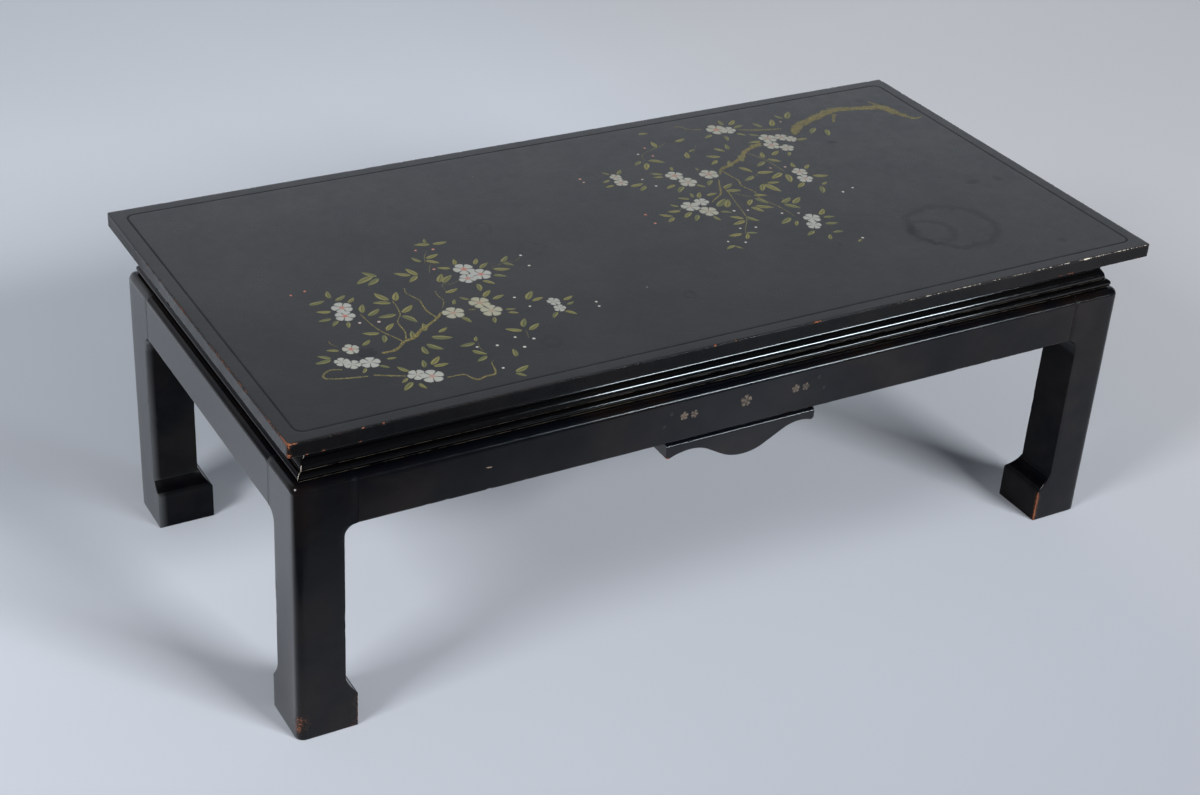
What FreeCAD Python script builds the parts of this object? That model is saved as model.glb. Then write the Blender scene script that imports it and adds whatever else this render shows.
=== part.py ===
import FreeCAD, Part
import os
from math import asin, atan2, cos, radians, sin, sqrt

# Low kang table in black lacquer: a framed top on a hollow waist, four aprons and four hoof feet.
# Lengths are millimetres. The origin is on the floor under the middle of the table.
# +X runs along the length, -Y is the front and +Z is up.

os.makedirs("parts", exist_ok=True)

# Whole table
table_length = 1220.0
table_depth = 610.0
table_height = 432.0

# Top: two end stiles run the full depth, and two long rails are tenoned between them
top_thickness = 18.3
frame_width = 79.0
rail_tenon_length = 45.0
rail_tenon_shoulder = 14.5

# Panel: it floats in a groove round the inside of the frame, flush with it above
panel_thickness = 12.0
tongue_thickness = 6.0
groove_depth = 10.0
panel_play = 1.0

# Battens: they slide into dovetail grooves across the panel and lap into the long rails
batten_names = ("left", "middle", "right")
batten_width = 34.0
batten_depth = 16.0
key_neck = 14.0
key_flare = 2.5
key_height = 3.5

# Legs: a square blank, kept whole at the head and the foot and hollowed to a shank between
end_overhang = 13.5
front_overhang = 21.9
leg_blank = 77.6
leg_hollow = 15.35
corner_radius = 7.0
edge_radius = 9.5
hoof_height = 49.0
hoof_shoulder_rise = 25.0
hoof_shoulder_hollow = 1.5
leg_tenon_inset = 2.5
leg_tenon_backset = 6.6

# Aprons: boards flush with the leg heads, tenoned into them
apron_height = 64.8
apron_thickness = 30.0
apron_tenon_length = 30.0
apron_tenon_height = 40.0
apron_tenon_thickness = 12.0

# Step moulding: a mitred strip with a half-round nose on the ledge of aprons and leg heads
moulding_inset = 10.0
moulding_height = 10.8

# Waist: a mitred strip, rounded at the foot and hollowed above, tongued below and above
waist_height = 45.9
waist_foot_inset = 16.5
waist_neck_inset = 22.0
waist_hollow = 2.5
waist_foot_height = 13.5
waist_foot_bulge = 1.8
waist_back_inset = 36.0
waist_tongue_inset = 27.0
waist_tongue_thickness = 5.0
waist_foot_tongue_height = 4.0

# Bamboo pins: they hold the moulding down on the aprons, under the foot of the waist
pin_diameter = 3.0
pin_inset = 20.5
pin_depth = 14.0
pin_end_gap = 12.0
long_side_pins = 5
short_side_pins = 3

# Pendants: an ogee bracket under each long apron, proud of its face and rounded along the top.
# A side is its reach, the place of its shoulder, the drop of the shoulder and the radius at the end.
pendant_left_side = (113.7, 77.8, 13.2, 75.0)
pendant_right_side = (103.7, 82.2, 11.9, 50.0)
pendant_lobe_place = -2.2
pendant_lobe_drop = 40.1
pendant_lobe_radius = 66.0
pendant_shoulder_radius = 52.0
pendant_tip_radius = 4.0
pendant_thickness = 28.0
pendant_proud = 3.5
pendant_tenon_spacing = 110.0
pendant_tenon_length = 30.0
pendant_tenon_thickness = 10.0
pendant_tenon_height = 14.0

# Fits: glue space at the bottom of a blind cut, wood left between two cuts, and points that count as one
glue_gap = 1.0
mortise_land = 4.0
same_place = 0.01
# Cutting shapes run past the wood by this much
overrun = 5.0

# Heights that follow
top_underside = table_height - top_thickness
panel_underside = table_height - panel_thickness
groove_top = panel_underside + tongue_thickness
waist_top_tongue_height = (panel_underside - top_underside) / 2
moulding_top = top_underside - waist_height
apron_top = moulding_top - moulding_height
apron_clearance = apron_top - apron_height
apron_middle = apron_clearance + apron_height / 2

# Plan sizes that follow
half_length = table_length / 2
half_depth = table_depth / 2
base_half_length = half_length - end_overhang
base_half_depth = half_depth - front_overhang
opening_half_length = half_length - frame_width
opening_half_depth = half_depth - frame_width
groove_half_length = opening_half_length + groove_depth
groove_half_depth = opening_half_depth + groove_depth
waist_tongue_back = waist_tongue_inset + waist_tongue_thickness
batten_lap_end = base_half_depth - waist_tongue_back - mortise_land
batten_pitch = 2 * opening_half_length / (len(batten_names) + 1)
batten_places = [batten_pitch * (number + 1) - opening_half_length for number in range(len(batten_names))]
pendant_tenon_places = [-pendant_tenon_spacing / 2, pendant_tenon_spacing / 2]


def at(x, y, z):
    """Point in the table's frame."""
    return FreeCAD.Vector(x, y, z)


def block(low, high):
    """Rectangular block between two opposite corners."""
    size = high - low
    return Part.makeBox(size.x, size.y, size.z, low)


def plan_block(half_x, half_y, z_low, z_high):
    """Block of the given half length and half depth, centred on the table, between two heights."""
    return block(at(-half_x, -half_y, z_low), at(half_x, half_y, z_high))


def centred_block(middle_x, width, y_low, y_high, z_low, z_high):
    """Block of a given width in X about a middle line."""
    return block(at(middle_x - width / 2, y_low, z_low), at(middle_x + width / 2, y_high, z_high))


def outline_face(start, *steps):
    """Flat face in a closed outline. A step is the next corner, or a point on an arc with the arc's end."""
    edges = []
    here = start
    for step in steps:
        if isinstance(step, tuple):
            through, end = step
            edges.append(Part.Arc(here, through, end).toShape())
        else:
            end = step
            edges.append(Part.LineSegment(here, end).toShape())
        here = end
    edges.append(Part.LineSegment(here, start).toShape())
    return Part.Face(Part.Wire(edges))


def across(inset, height):
    """Point of a cross-section in the YZ plane, by its inset from the outer face and its height."""
    return at(0, inset, height)


def on_round(inset, height, radius, angle):
    """Point of a cross-section on a circle, by its centre, radius and angle from the +Y direction."""
    turn = radians(angle)
    return across(inset + radius * cos(turn), height + radius * sin(turn))


def turned(shape, angle):
    """Copy of a shape, turned about the upright middle line of the table."""
    copy = shape.copy()
    copy.rotate(at(0, 0, 0), at(0, 0, 1), angle)
    return copy


def mirrored_ends(shape):
    """Copy of a shape on the other end of the table."""
    return shape.mirror(at(0, 0, 0), at(1, 0, 0))


def mirrored_front(shape):
    """Copy of a shape on the other long side of the table."""
    return shape.mirror(at(0, 0, 0), at(0, 1, 0))


def mitred_strip(section, inner_inset, half_run, half_cross):
    """Strip along the front with its ends cut at 45 degrees, from a section drawn across it."""
    bar = section.extrude(at(2 * half_run, 0, 0))
    bar.translate(at(-half_run, -half_cross, 0))
    plan = outline_face(
        at(-half_run, -half_cross, 0),
        at(half_run, -half_cross, 0),
        at(half_run - inner_inset, inner_inset - half_cross, 0),
        at(inner_inset - half_run, inner_inset - half_cross, 0),
    )
    return bar.common(plan.extrude(at(0, 0, table_height)))


def waist_groove():
    """Groove round the underside of the top frame that takes the upper tongues of the waist."""
    front = waist_tongue_inset
    back = waist_tongue_back
    groove_floor = top_underside + waist_top_tongue_height + glue_gap
    outer = plan_block(base_half_length - front, base_half_depth - front, top_underside, groove_floor)
    below = top_underside - overrun
    inner = plan_block(base_half_length - back, base_half_depth - back, below, table_height)
    return outer.cut(inner)


def rail_tenon(spare):
    """Tenon on the left end of the front rail, longer by the spare length."""
    tip_x = -opening_half_length - rail_tenon_length - spare
    outer_y = rail_tenon_shoulder - half_depth
    inner_y = -groove_half_depth - mortise_land
    return block(at(tip_x, outer_y, panel_underside), at(-opening_half_length, inner_y, groove_top))


def leg_tenon(spare):
    """Tenon on top of the front left leg, higher by the spare length, in the leg's own corner frame."""
    low_x = waist_back_inset + leg_tenon_inset
    high_x = base_half_length - groove_half_length - mortise_land
    low_y = base_half_depth - groove_half_depth
    high_y = leg_blank - leg_tenon_backset
    return block(at(low_x, low_y, top_underside), at(high_x, high_y, groove_top + spare))


def apron_tenon(reach, spare):
    """Tenon on the left end of an apron that reaches to a place along X, longer by the spare length."""
    cheek = (apron_thickness - apron_tenon_thickness) / 2
    tip_x = reach - apron_tenon_length - spare
    low = apron_middle - apron_tenon_height / 2
    return block(at(tip_x, cheek, low), at(reach, apron_thickness - cheek, low + apron_tenon_height))


def pendant_tenon(middle_x, spare):
    """Stub tenon on top of a pendant, higher by the spare length."""
    y_low = (apron_thickness - pendant_tenon_thickness) / 2
    y_high = y_low + pendant_tenon_thickness
    tip = apron_clearance + pendant_tenon_height + spare
    return centred_block(middle_x, pendant_tenon_length, y_low, y_high, apron_clearance, tip)


def batten_lap(middle_x):
    """Lap on the front end of a batten, let into the underside of the front rail."""
    y_low = -batten_lap_end
    return centred_block(
        middle_x, batten_width, y_low, -opening_half_depth, top_underside, panel_underside
    )


def dovetail_key(middle_x, half_run):
    """Dovetail along Y that holds a batten to the panel."""
    section = outline_face(
        at(middle_x - key_neck / 2, -half_run, panel_underside),
        at(middle_x + key_neck / 2, -half_run, panel_underside),
        at(middle_x + key_neck / 2 + key_flare, -half_run, panel_underside + key_height),
        at(middle_x - key_neck / 2 - key_flare, -half_run, panel_underside + key_height),
    )
    return section.extrude(at(0, 2 * half_run, 0))


def panel_groove():
    """Groove round the inside of the frame that takes the tongue of the panel."""
    return plan_block(groove_half_length, groove_half_depth, panel_underside, groove_top)


def end_stile():
    """Left end of the top frame, over the full depth of the table."""
    low = at(-half_length, -half_depth, top_underside)
    stile = block(low, at(-opening_half_length, half_depth, table_height))
    rail_mortise = rail_tenon(glue_gap)
    leg_mortise = leg_tenon(glue_gap)
    leg_mortise.translate(at(-base_half_length, -base_half_depth, 0))
    for mortise in (rail_mortise, leg_mortise):
        stile = stile.cut([mortise, mirrored_front(mortise)])
    return stile.cut([panel_groove(), waist_groove()])


def long_rail():
    """Front of the top frame, between the end stiles."""
    rail = block(
        at(-opening_half_length, -half_depth, top_underside),
        at(opening_half_length, -opening_half_depth, table_height),
    )
    laps = [batten_lap(place) for place in batten_places]
    cut_rail = rail.cut([panel_groove(), waist_groove()] + laps)
    return cut_rail.fuse([rail_tenon(0), mirrored_ends(rail_tenon(0))]).removeSplitter()


def top_panel():
    """Panel with a tongue on all four edges and a dovetail groove for each batten."""
    tongue_half_length = groove_half_length - panel_play
    tongue_half_depth = groove_half_depth - panel_play
    field = plan_block(opening_half_length, opening_half_depth, panel_underside, table_height)
    tongue = plan_block(tongue_half_length, tongue_half_depth, panel_underside, groove_top)
    keyways = [dovetail_key(place, half_depth) for place in batten_places]
    return field.fuse(tongue).removeSplitter().cut(keyways)


def batten(middle_x):
    """Batten across the underside of the panel, with its dovetail and its two laps."""
    y_high = opening_half_depth
    low = panel_underside - batten_depth
    bar = centred_block(middle_x, batten_width, -y_high, y_high, low, panel_underside)
    lap = batten_lap(middle_x)
    key = dovetail_key(middle_x, opening_half_depth)
    return bar.fuse([lap, mirrored_front(lap), key]).removeSplitter()


def leg_side():
    """Leg seen from one side, extruded over the blank: head, quarter-round, shank, hoof and inner post."""
    shank = leg_blank - leg_hollow
    shoulder_top = hoof_height + hoof_shoulder_rise
    shoulder_middle_inset = leg_blank - leg_hollow / 2 - hoof_shoulder_hollow
    shoulder_middle_height = hoof_height + hoof_shoulder_rise / 2 - hoof_shoulder_hollow / 2
    round_start = apron_clearance - leg_hollow
    face = outline_face(
        across(0, 0),
        across(leg_blank, 0),
        across(leg_blank, hoof_height),
        (across(shoulder_middle_inset, shoulder_middle_height), across(shank, shoulder_top)),
        across(shank, round_start),
        (on_round(leg_blank, round_start, leg_hollow, 135), across(leg_blank, apron_clearance)),
        across(leg_blank, top_underside),
        across(waist_back_inset, top_underside),
        across(waist_back_inset, apron_top),
        across(0, apron_top),
    )
    return face.extrude(at(leg_blank, 0, 0))


def outer_edges(leg):
    """Outer upright edges of a leg and the two top edges of its head, in the leg's own corner frame."""
    upright = []
    on_head = []
    for edge in leg.Edges:
        box = edge.BoundBox
        on_end_face = box.XMax < same_place
        on_front_face = box.YMax < same_place
        if on_end_face and on_front_face:
            upright.append(edge)
        elif (on_end_face or on_front_face) and box.ZMin > apron_top - same_place:
            on_head.append(edge)
    return upright, on_head


def corner_leg():
    """Front left leg: the same outline on both sides, with the outer edge rounded."""
    side = leg_side()
    other_side = side.mirror(at(0, 0, 0), at(1, -1, 0))
    body = side.common(other_side)
    upright, on_head = outer_edges(body)
    body = body.makeFillet(corner_radius, upright)
    _, on_head = outer_edges(body)
    body = body.makeFillet(edge_radius, on_head)
    front_mortise = apron_tenon(leg_blank, glue_gap)
    end_mortise = front_mortise.mirror(at(0, 0, 0), at(1, -1, 0))
    leg = body.fuse(leg_tenon(0)).removeSplitter().cut([front_mortise, end_mortise])
    leg.translate(at(-base_half_length, -base_half_depth, 0))
    return leg


def pin_places(half_run, count):
    """Places of the pins along one side, evenly spaced between two end margins."""
    reach = half_run - leg_blank - pin_end_gap
    return [reach * (2 * number / (count - 1) - 1) for number in range(count)]


def side_pins(half_run, half_cross, count, low, high):
    """Row of pins along the front, between two heights."""
    pins = []
    for place in pin_places(half_run, count):
        foot = at(place, pin_inset - half_cross, low)
        pins.append(Part.makeCylinder(pin_diameter / 2, high - low, foot))
    return pins


def apron(half_run, half_cross, pin_count, pendants):
    """Apron board along the front, with a rounded upper edge and a tenon on each end."""
    round_start = apron_top - edge_radius
    section = outline_face(
        across(0, apron_clearance),
        across(apron_thickness, apron_clearance),
        across(apron_thickness, apron_top),
        across(edge_radius, apron_top),
        (on_round(edge_radius, round_start, edge_radius, 135), across(0, round_start)),
    )
    reach = leg_blank - half_run
    board = section.extrude(at(-2 * reach, 0, 0))
    board.translate(at(reach, 0, 0))
    tenon = apron_tenon(reach, 0)
    board = board.fuse([tenon, mirrored_ends(tenon)]).removeSplitter()
    for place in pendants:
        board = board.cut(pendant_tenon(place, glue_gap))
    board.translate(at(0, -half_cross, 0))
    return board.cut(side_pins(half_run, half_cross, pin_count, apron_top - pin_depth, moulding_top))


def moulding(half_run, half_cross, pin_count):
    """Step moulding along the front, with a half-round nose and a groove for the waist."""
    nose = moulding_height / 2
    groove_floor = moulding_top - waist_foot_tongue_height - glue_gap
    section = outline_face(
        across(waist_back_inset, apron_top),
        across(waist_back_inset, moulding_top),
        across(waist_tongue_back, moulding_top),
        across(waist_tongue_back, groove_floor),
        across(waist_tongue_inset, groove_floor),
        across(waist_tongue_inset, moulding_top),
        across(moulding_inset + nose, moulding_top),
        (across(moulding_inset, apron_top + nose), across(moulding_inset + nose, apron_top)),
    )
    strip = mitred_strip(section, waist_back_inset, half_run, half_cross)
    pins = side_pins(half_run, half_cross, pin_count, apron_top - overrun, moulding_top + overrun)
    return strip.cut(pins)


def waist(half_run, half_cross):
    """Waist along the front: a rounded foot, a hollow band above it and a tongue at top and bottom."""
    foot_top = moulding_top + waist_foot_height
    foot_middle = moulding_top + waist_foot_height / 2
    foot_middle_inset = (waist_foot_inset + waist_neck_inset) / 2 - waist_foot_bulge
    hollow_middle = (foot_top + top_underside) / 2
    section = outline_face(
        across(waist_back_inset, moulding_top),
        across(waist_tongue_back, moulding_top),
        across(waist_tongue_back, moulding_top - waist_foot_tongue_height),
        across(waist_tongue_inset, moulding_top - waist_foot_tongue_height),
        across(waist_tongue_inset, moulding_top),
        across(waist_foot_inset, moulding_top),
        (across(foot_middle_inset, foot_middle), across(waist_neck_inset, foot_top)),
        (across(waist_neck_inset + waist_hollow, hollow_middle), across(waist_neck_inset, top_underside)),
        across(waist_tongue_inset, top_underside),
        across(waist_tongue_inset, top_underside + waist_top_tongue_height),
        across(waist_tongue_back, top_underside + waist_top_tongue_height),
        across(waist_tongue_back, top_underside),
        across(waist_back_inset, top_underside),
    )
    return mitred_strip(section, waist_back_inset, half_run, half_cross)


def on_ogee(middle_x, level, radius, slope):
    """Point where an arc has the given slope, by the place and height where it is level.

    The radius is negative where the arc is hollow from below.
    """
    return at(middle_x + radius * sin(slope), 0, level + radius * (1 - cos(slope)))


def half_pendant(reach, place, shoulder_drop, end_radius):
    """Right half of a pendant: half the lobe, a straight slope, a hollow shoulder and a falling end."""
    shoulder = apron_clearance - shoulder_drop
    lobe = apron_clearance - pendant_lobe_drop
    hollow = -pendant_shoulder_radius
    # The slope touches both the lobe's arc and the shoulder's arc.
    rise = shoulder - lobe
    radii = pendant_lobe_radius + pendant_shoulder_radius
    straight = sqrt(place ** 2 + rise ** 2 - 2 * radii * rise)
    slope = atan2(radii, straight) - atan2(radii - rise, place)
    fall = -asin((reach - place) / end_radius)
    face = outline_face(
        at(0, 0, apron_clearance),
        at(0, 0, lobe),
        (on_ogee(0, lobe, pendant_lobe_radius, slope / 2), on_ogee(0, lobe, pendant_lobe_radius, slope)),
        on_ogee(place, shoulder, hollow, slope),
        (on_ogee(place, shoulder, hollow, slope / 2), on_ogee(place, shoulder, hollow, 0)),
        (on_ogee(place, shoulder, -end_radius, fall / 2), on_ogee(place, shoulder, -end_radius, fall)),
        at(reach, 0, apron_clearance),
    )
    half = face.extrude(at(0, pendant_thickness, 0))
    tip = [edge for edge in half.Edges if is_tip(edge, reach)]
    return half.makeFillet(pendant_tip_radius, tip)


def pendant():
    """Ogee pendant under the front apron: a middle lobe between two hollow shoulders."""
    right = half_pendant(*pendant_right_side)
    left = mirrored_ends(half_pendant(*pendant_left_side))
    bracket = right.fuse(left).removeSplitter()
    bracket = bracket.makeFillet(pendant_proud, [edge for edge in bracket.Edges if is_top_front(edge)])
    bracket.translate(at(pendant_lobe_place, -pendant_proud, 0))
    bracket = bracket.fuse([pendant_tenon(place, 0) for place in pendant_tenon_places]).removeSplitter()
    bracket.translate(at(0, -base_half_depth, 0))
    return bracket


def is_tip(edge, reach):
    """True for the lower edge at the end of half a pendant."""
    box = edge.BoundBox
    runs_back = box.YLength > same_place
    return box.XMin > reach - same_place and runs_back and box.ZMax < apron_clearance - same_place


def is_top_front(edge):
    """True for the upper edge along the front of a pendant."""
    box = edge.BoundBox
    return box.YMax < same_place and box.ZMin > apron_clearance - same_place


def write(name, shape):
    """Write one named piece of the table."""
    shape.exportStep(os.path.join("parts", name + ".step"))


# Top
left_stile = end_stile()
front_rail = long_rail()
write("top_stile_left", left_stile)
write("top_stile_right", mirrored_ends(left_stile))
write("top_rail_front", front_rail)
write("top_rail_back", mirrored_front(front_rail))
write("top_panel", top_panel())
for name, place in zip(batten_names, batten_places):
    write("batten_" + name, batten(place))

# Legs
front_left_leg = corner_leg()
front_right_leg = mirrored_ends(front_left_leg)
write("leg_front_left", front_left_leg)
write("leg_front_right", front_right_leg)
write("leg_back_left", mirrored_front(front_left_leg))
write("leg_back_right", mirrored_front(front_right_leg))

# Aprons, step moulding and waist, the same on each side but for the length
long_side = (base_half_length, base_half_depth, long_side_pins, pendant_tenon_places)
short_side = (base_half_depth, base_half_length, short_side_pins, ())
pins = []
for name, angle, side in (
    ("front", 0, long_side),
    ("right", 90, short_side),
    ("back", 180, long_side),
    ("left", 270, short_side),
):
    half_run, half_cross, pin_count, pendants = side
    write("apron_" + name, turned(apron(half_run, half_cross, pin_count, pendants), angle))
    write("moulding_" + name, turned(moulding(half_run, half_cross, pin_count), angle))
    write("waist_" + name, turned(waist(half_run, half_cross), angle))
    for pin in side_pins(half_run, half_cross, pin_count, apron_top - pin_depth, moulding_top):
        pins.append(turned(pin, angle))
write("moulding_pins", Part.makeCompound(pins))

# Pendants
front_pendant = pendant()
write("pendant_front", front_pendant)
write("pendant_back", mirrored_front(front_pendant))
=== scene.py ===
import bmesh
import bpy
import itertools
import numpy as np
from mathutils import Matrix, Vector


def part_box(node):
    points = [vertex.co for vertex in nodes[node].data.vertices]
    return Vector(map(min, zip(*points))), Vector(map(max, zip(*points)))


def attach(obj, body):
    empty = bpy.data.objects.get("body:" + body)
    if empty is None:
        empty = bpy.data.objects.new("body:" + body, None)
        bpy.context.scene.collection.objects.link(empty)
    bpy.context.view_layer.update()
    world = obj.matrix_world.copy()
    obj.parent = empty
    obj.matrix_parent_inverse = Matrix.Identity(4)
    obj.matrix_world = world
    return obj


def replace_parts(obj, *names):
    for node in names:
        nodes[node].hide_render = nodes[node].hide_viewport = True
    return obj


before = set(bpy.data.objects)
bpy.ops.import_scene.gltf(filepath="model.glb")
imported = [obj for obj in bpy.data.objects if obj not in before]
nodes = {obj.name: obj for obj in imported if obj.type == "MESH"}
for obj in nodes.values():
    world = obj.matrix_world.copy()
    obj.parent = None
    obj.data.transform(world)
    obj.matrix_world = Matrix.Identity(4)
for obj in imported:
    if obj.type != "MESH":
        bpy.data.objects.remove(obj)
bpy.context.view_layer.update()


def placed(name, data):
    """New object with this data, linked to the scene."""
    made = bpy.data.objects.new(name, data)
    bpy.context.scene.collection.objects.link(made)
    return made


def placed_matrix(right, up, back, place):
    """Matrix of a camera or lamp from three directions and its place. It faces away from back."""
    return Matrix([(*row, spot) for *row, spot in zip(right, up, back, place)] + [(0, 0, 0, 1)])


# Camera: it stands off the front left corner of the table, at the eye height of someone who stands.
# The long lens keeps the table's edges nearly parallel.
camera_data = bpy.data.cameras.new("camera")
camera_data.sensor_width = 36.0
camera_data.lens = 62.14
camera_data.clip_end = 60.0
camera_right = (0.8703294, -0.4891311, 0.0572497)
camera_up = (0.2083592, 0.4710638, 0.8571379)
camera_back = (-0.4462210, -0.7340638, 0.5118956)
camera_place = (-1.292165, -2.059321, 1.621148)
camera = placed("camera", camera_data)
camera.matrix_world = placed_matrix(camera_right, camera_up, camera_back, camera_place)
bpy.context.scene.camera = camera


# Legs: four square posts of hardwood, hollowed on the two inner sides to a shank and a hoof foot,
# tenoned into the top frame. The lacquer is rubbed thin along the edges and knocked off at the feet.
mm = 0.001
skin_inset = 0.25
leg_corner_radius = 11.0
head_round_radius = 9.5
shank_width = 62.25
foot_round = 1.4
hoof_height = 49.0
hoof_shoulder_rise = 25.0
hoof_shoulder_hollow = 1.5
arch_start, arch_end = 270, 292
ledge_inset = 14.0
ledge_insets = (12.6, 13.1, ledge_inset)


def box_of(node):
    """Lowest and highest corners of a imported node, in millimetres."""
    low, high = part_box(node)
    return np.array(low) / mm, np.array(high) / mm


def soft_random(points, cell, seed):
    """Soft random value from 0 to 1 at each point: random numbers stand on a cubic lattice of the cell
    size, and the eight round a point are blended by 3t^2 - 2t^3 in each direction."""
    place = np.asarray(points, float) / cell
    corner = np.floor(place).astype(np.int64)
    part = place - corner
    part = part * part * (3 - 2 * part)
    total = 0.0
    for step in itertools.product((0, 1), repeat=3):
        x, y, z = np.moveaxis(corner + step, -1, 0)
        key = (x * 374761393 + y * 668265263 + z * 2147483647 + seed * 1442695041) & 0xFFFFFFFF
        key = ((key ^ (key >> 13)) * 1274126177) & 0xFFFFFFFF
        value = ((key ^ (key >> 16)) & 0xFFFF) / 0xFFFF
        total = total + value * np.where(step, part, 1 - part).prod(-1)
    return total


def rise(value, low, high):
    """0 below low, 1 above high and a smooth step between."""
    share = np.clip((value - low) / (high - low), 0, 1)
    return share * share * (3 - 2 * share)


def quarter_turn(count):
    """Angles from 0 to 90 degrees, in radians."""
    return np.radians(np.linspace(0, 90, count))


def grid_quads(count, around, closed=True):
    """Quads between neighbouring rings of a mesh whose points are numbered ring by ring."""
    first = np.arange(count - 1)[:, None] * around
    here = first + np.arange(around if closed else around - 1)
    there = first + (here - first + 1) % around
    return np.stack([here, there, there + around, here + around], -1).reshape(-1, 4)


def fading(distance, reach):
    """1 at no distance, 0.37 at the reach and 0.02 at twice the reach, along a bell curve."""
    return np.exp(-(distance / reach) ** 2)


def chipping(points):
    """Share from 0 to 1 by which an edge is knocked off at each point: short chips of about 6 mm,
    only in stretches of about 60 mm that were knocked more often."""
    short = rise(soft_random(points, 6.0, 3), 0.56, 0.88)
    long = rise(soft_random(points, 60.0, 4), 0.45, 0.8)
    return short * long


def edge_radius(points, usual, chip):
    """Radius of a worn edge in millimetres: the usual radius, a slow change of a third, and chips."""
    return usual * (0.67 + 0.66 * soft_random(points, 24.0, 5)) + chip * chipping(points)


def closed_rings(name, rings):
    """Closed mesh from an array of rings: quads between neighbouring rings and a flat face on each end."""
    count, around = rings.shape[:2]
    ends = [list(range(around)), list(range((count - 1) * around, count * around))]
    mesh = bpy.data.meshes.new(name)
    mesh.from_pydata((rings.reshape(-1, 3) * mm).tolist(), [], grid_quads(count, around).tolist() + ends)
    shell = bmesh.new()
    shell.from_mesh(mesh)
    bmesh.ops.recalc_face_normals(shell, faces=shell.faces)
    shell.to_mesh(mesh)
    shell.free()
    return mesh


def merged_copy(node):
    """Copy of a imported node's mesh with its loose triangles joined and without its stored shading."""
    mesh = nodes[node].data.copy()
    for stored in ("custom_normal", "sharp_edge", "sharp_face"):
        if stored in mesh.attributes:
            mesh.attributes.remove(mesh.attributes[stored])
    shell = bmesh.new()
    shell.from_mesh(mesh)
    bmesh.ops.remove_doubles(shell, verts=shell.verts, dist=1e-6)
    shell.to_mesh(mesh)
    shell.free()
    return mesh


def finished(name, mesh, material, sharp=35.0):
    """Piece that rides on the table, shaded smooth but for edges sharper than the given angle."""
    mesh.materials.clear()
    mesh.materials.append(material)
    mesh.polygons.foreach_set("use_smooth", np.ones(len(mesh.polygons), bool))
    mesh.set_sharp_from_angle(angle=np.radians(sharp))
    piece = placed(name, mesh)
    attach(piece, "root")
    return piece


def points_of(mesh):
    """Vertices of a mesh in millimetres."""
    places = np.empty(len(mesh.vertices) * 3, np.float32)
    mesh.vertices.foreach_get("co", places)
    return places.reshape(-1, 3).astype(float) / mm


def note(mesh, name, values):
    """Writes one number for each vertex, which a material reads by its name."""
    mesh.attributes.new(name, "FLOAT", "POINT").data.foreach_set("value", np.asarray(values, np.float32))


def worn_piece(node, rings, material, wear):
    """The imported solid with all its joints, cut back by a worn skin. The wear function gives the numbers
    that the material reads: how worn, dusty, pale, matt or polished the surface is at each point."""
    skin = placed("skin", closed_rings("skin", rings))
    solid = placed("solid", merged_copy(node))
    cut = skin.modifiers.new("cut", "BOOLEAN")
    cut.operation = "INTERSECT"
    cut.solver = "MANIFOLD"
    cut.object = solid
    bpy.context.view_layer.update()
    mesh = bpy.data.meshes.new_from_object(skin.evaluated_get(bpy.context.evaluated_depsgraph_get()))
    mesh.name = node + "_lacquered"
    for part in (skin, solid):
        bpy.data.objects.remove(part)
    for name, values in wear(points_of(mesh)).items():
        note(mesh, name, values)
    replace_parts(finished(node + "_lacquered", mesh, material), node)


def linear(text):
    """Linear colour with alpha from an sRGB hex value."""
    value = np.array([int(text[place:place + 2], 16) for place in (1, 3, 5)]) / 255
    value = np.where(value <= 0.04045, value / 12.92, ((value + 0.055) / 1.055) ** 2.4)
    return (*value.tolist(), 1.0)


def add(tree, kind, inputs=None, **options):
    """Adds a shader node with its options, and sets or links its inputs."""
    made = tree.nodes.new(kind)
    for option, value in options.items():
        setattr(made, option, value)
    for socket, value in (inputs or {}).items():
        if isinstance(value, bpy.types.NodeSocket):
            tree.links.new(value, made.inputs[socket])
        else:
            made.inputs[socket].default_value = value
    return made


def maths(tree, operation, *values):
    """Result of one math node on up to three values."""
    return add(tree, "ShaderNodeMath", dict(enumerate(values)), operation=operation).outputs[0]


def scaled(tree, value, factor, more):
    """Value times the factor, plus more."""
    return maths(tree, "MULTIPLY_ADD", value, factor, more)


def ranged(tree, value, low, high, start=0.0, end=1.0, **options):
    """Number that goes from start to end while the value goes from low to high."""
    inputs = {"Value": value, "From Min": low, "From Max": high, "To Min": start, "To Max": end}
    return add(tree, "ShaderNodeMapRange", inputs, **options).outputs["Result"]


def mixed(tree, share, first, second):
    """Colour that goes from first to second while the share goes from 0 to 1. Each is a socket or an
    sRGB hex value."""
    first, second = (linear(colour) if isinstance(colour, str) else colour for colour in (first, second))
    return add(tree, "ShaderNodeMixRGB", {"Fac": share, "Color1": first, "Color2": second}).outputs[0]


def noise(tree, place, scale, detail, roughness=0.5, distortion=0.0):
    """Cloudy noise from 0 to 1. The scale counts the clouds in a metre."""
    return add(tree, "ShaderNodeTexNoise", {
        "Vector": place, "Scale": scale, "Detail": detail, "Roughness": roughness, "Distortion": distortion,
    }).outputs["Fac"]


def along(tree, place, direction):
    """How far a place lies along a direction."""
    both = {0: place, 1: direction}
    return add(tree, "ShaderNodeVectorMath", both, operation="DOT_PRODUCT").outputs["Value"]


def bumped(tree, height, strength, distance, **under):
    """Normal of a surface that follows a height, on top of another normal where one is given."""
    inputs = {"Height": height, "Strength": strength, "Distance": distance, **under}
    return add(tree, "ShaderNodeBump", inputs).outputs[0]


def noted(tree, name):
    """Number noted on the mesh, as a socket."""
    return add(tree, "ShaderNodeAttribute", attribute_name=name).outputs["Fac"]


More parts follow.
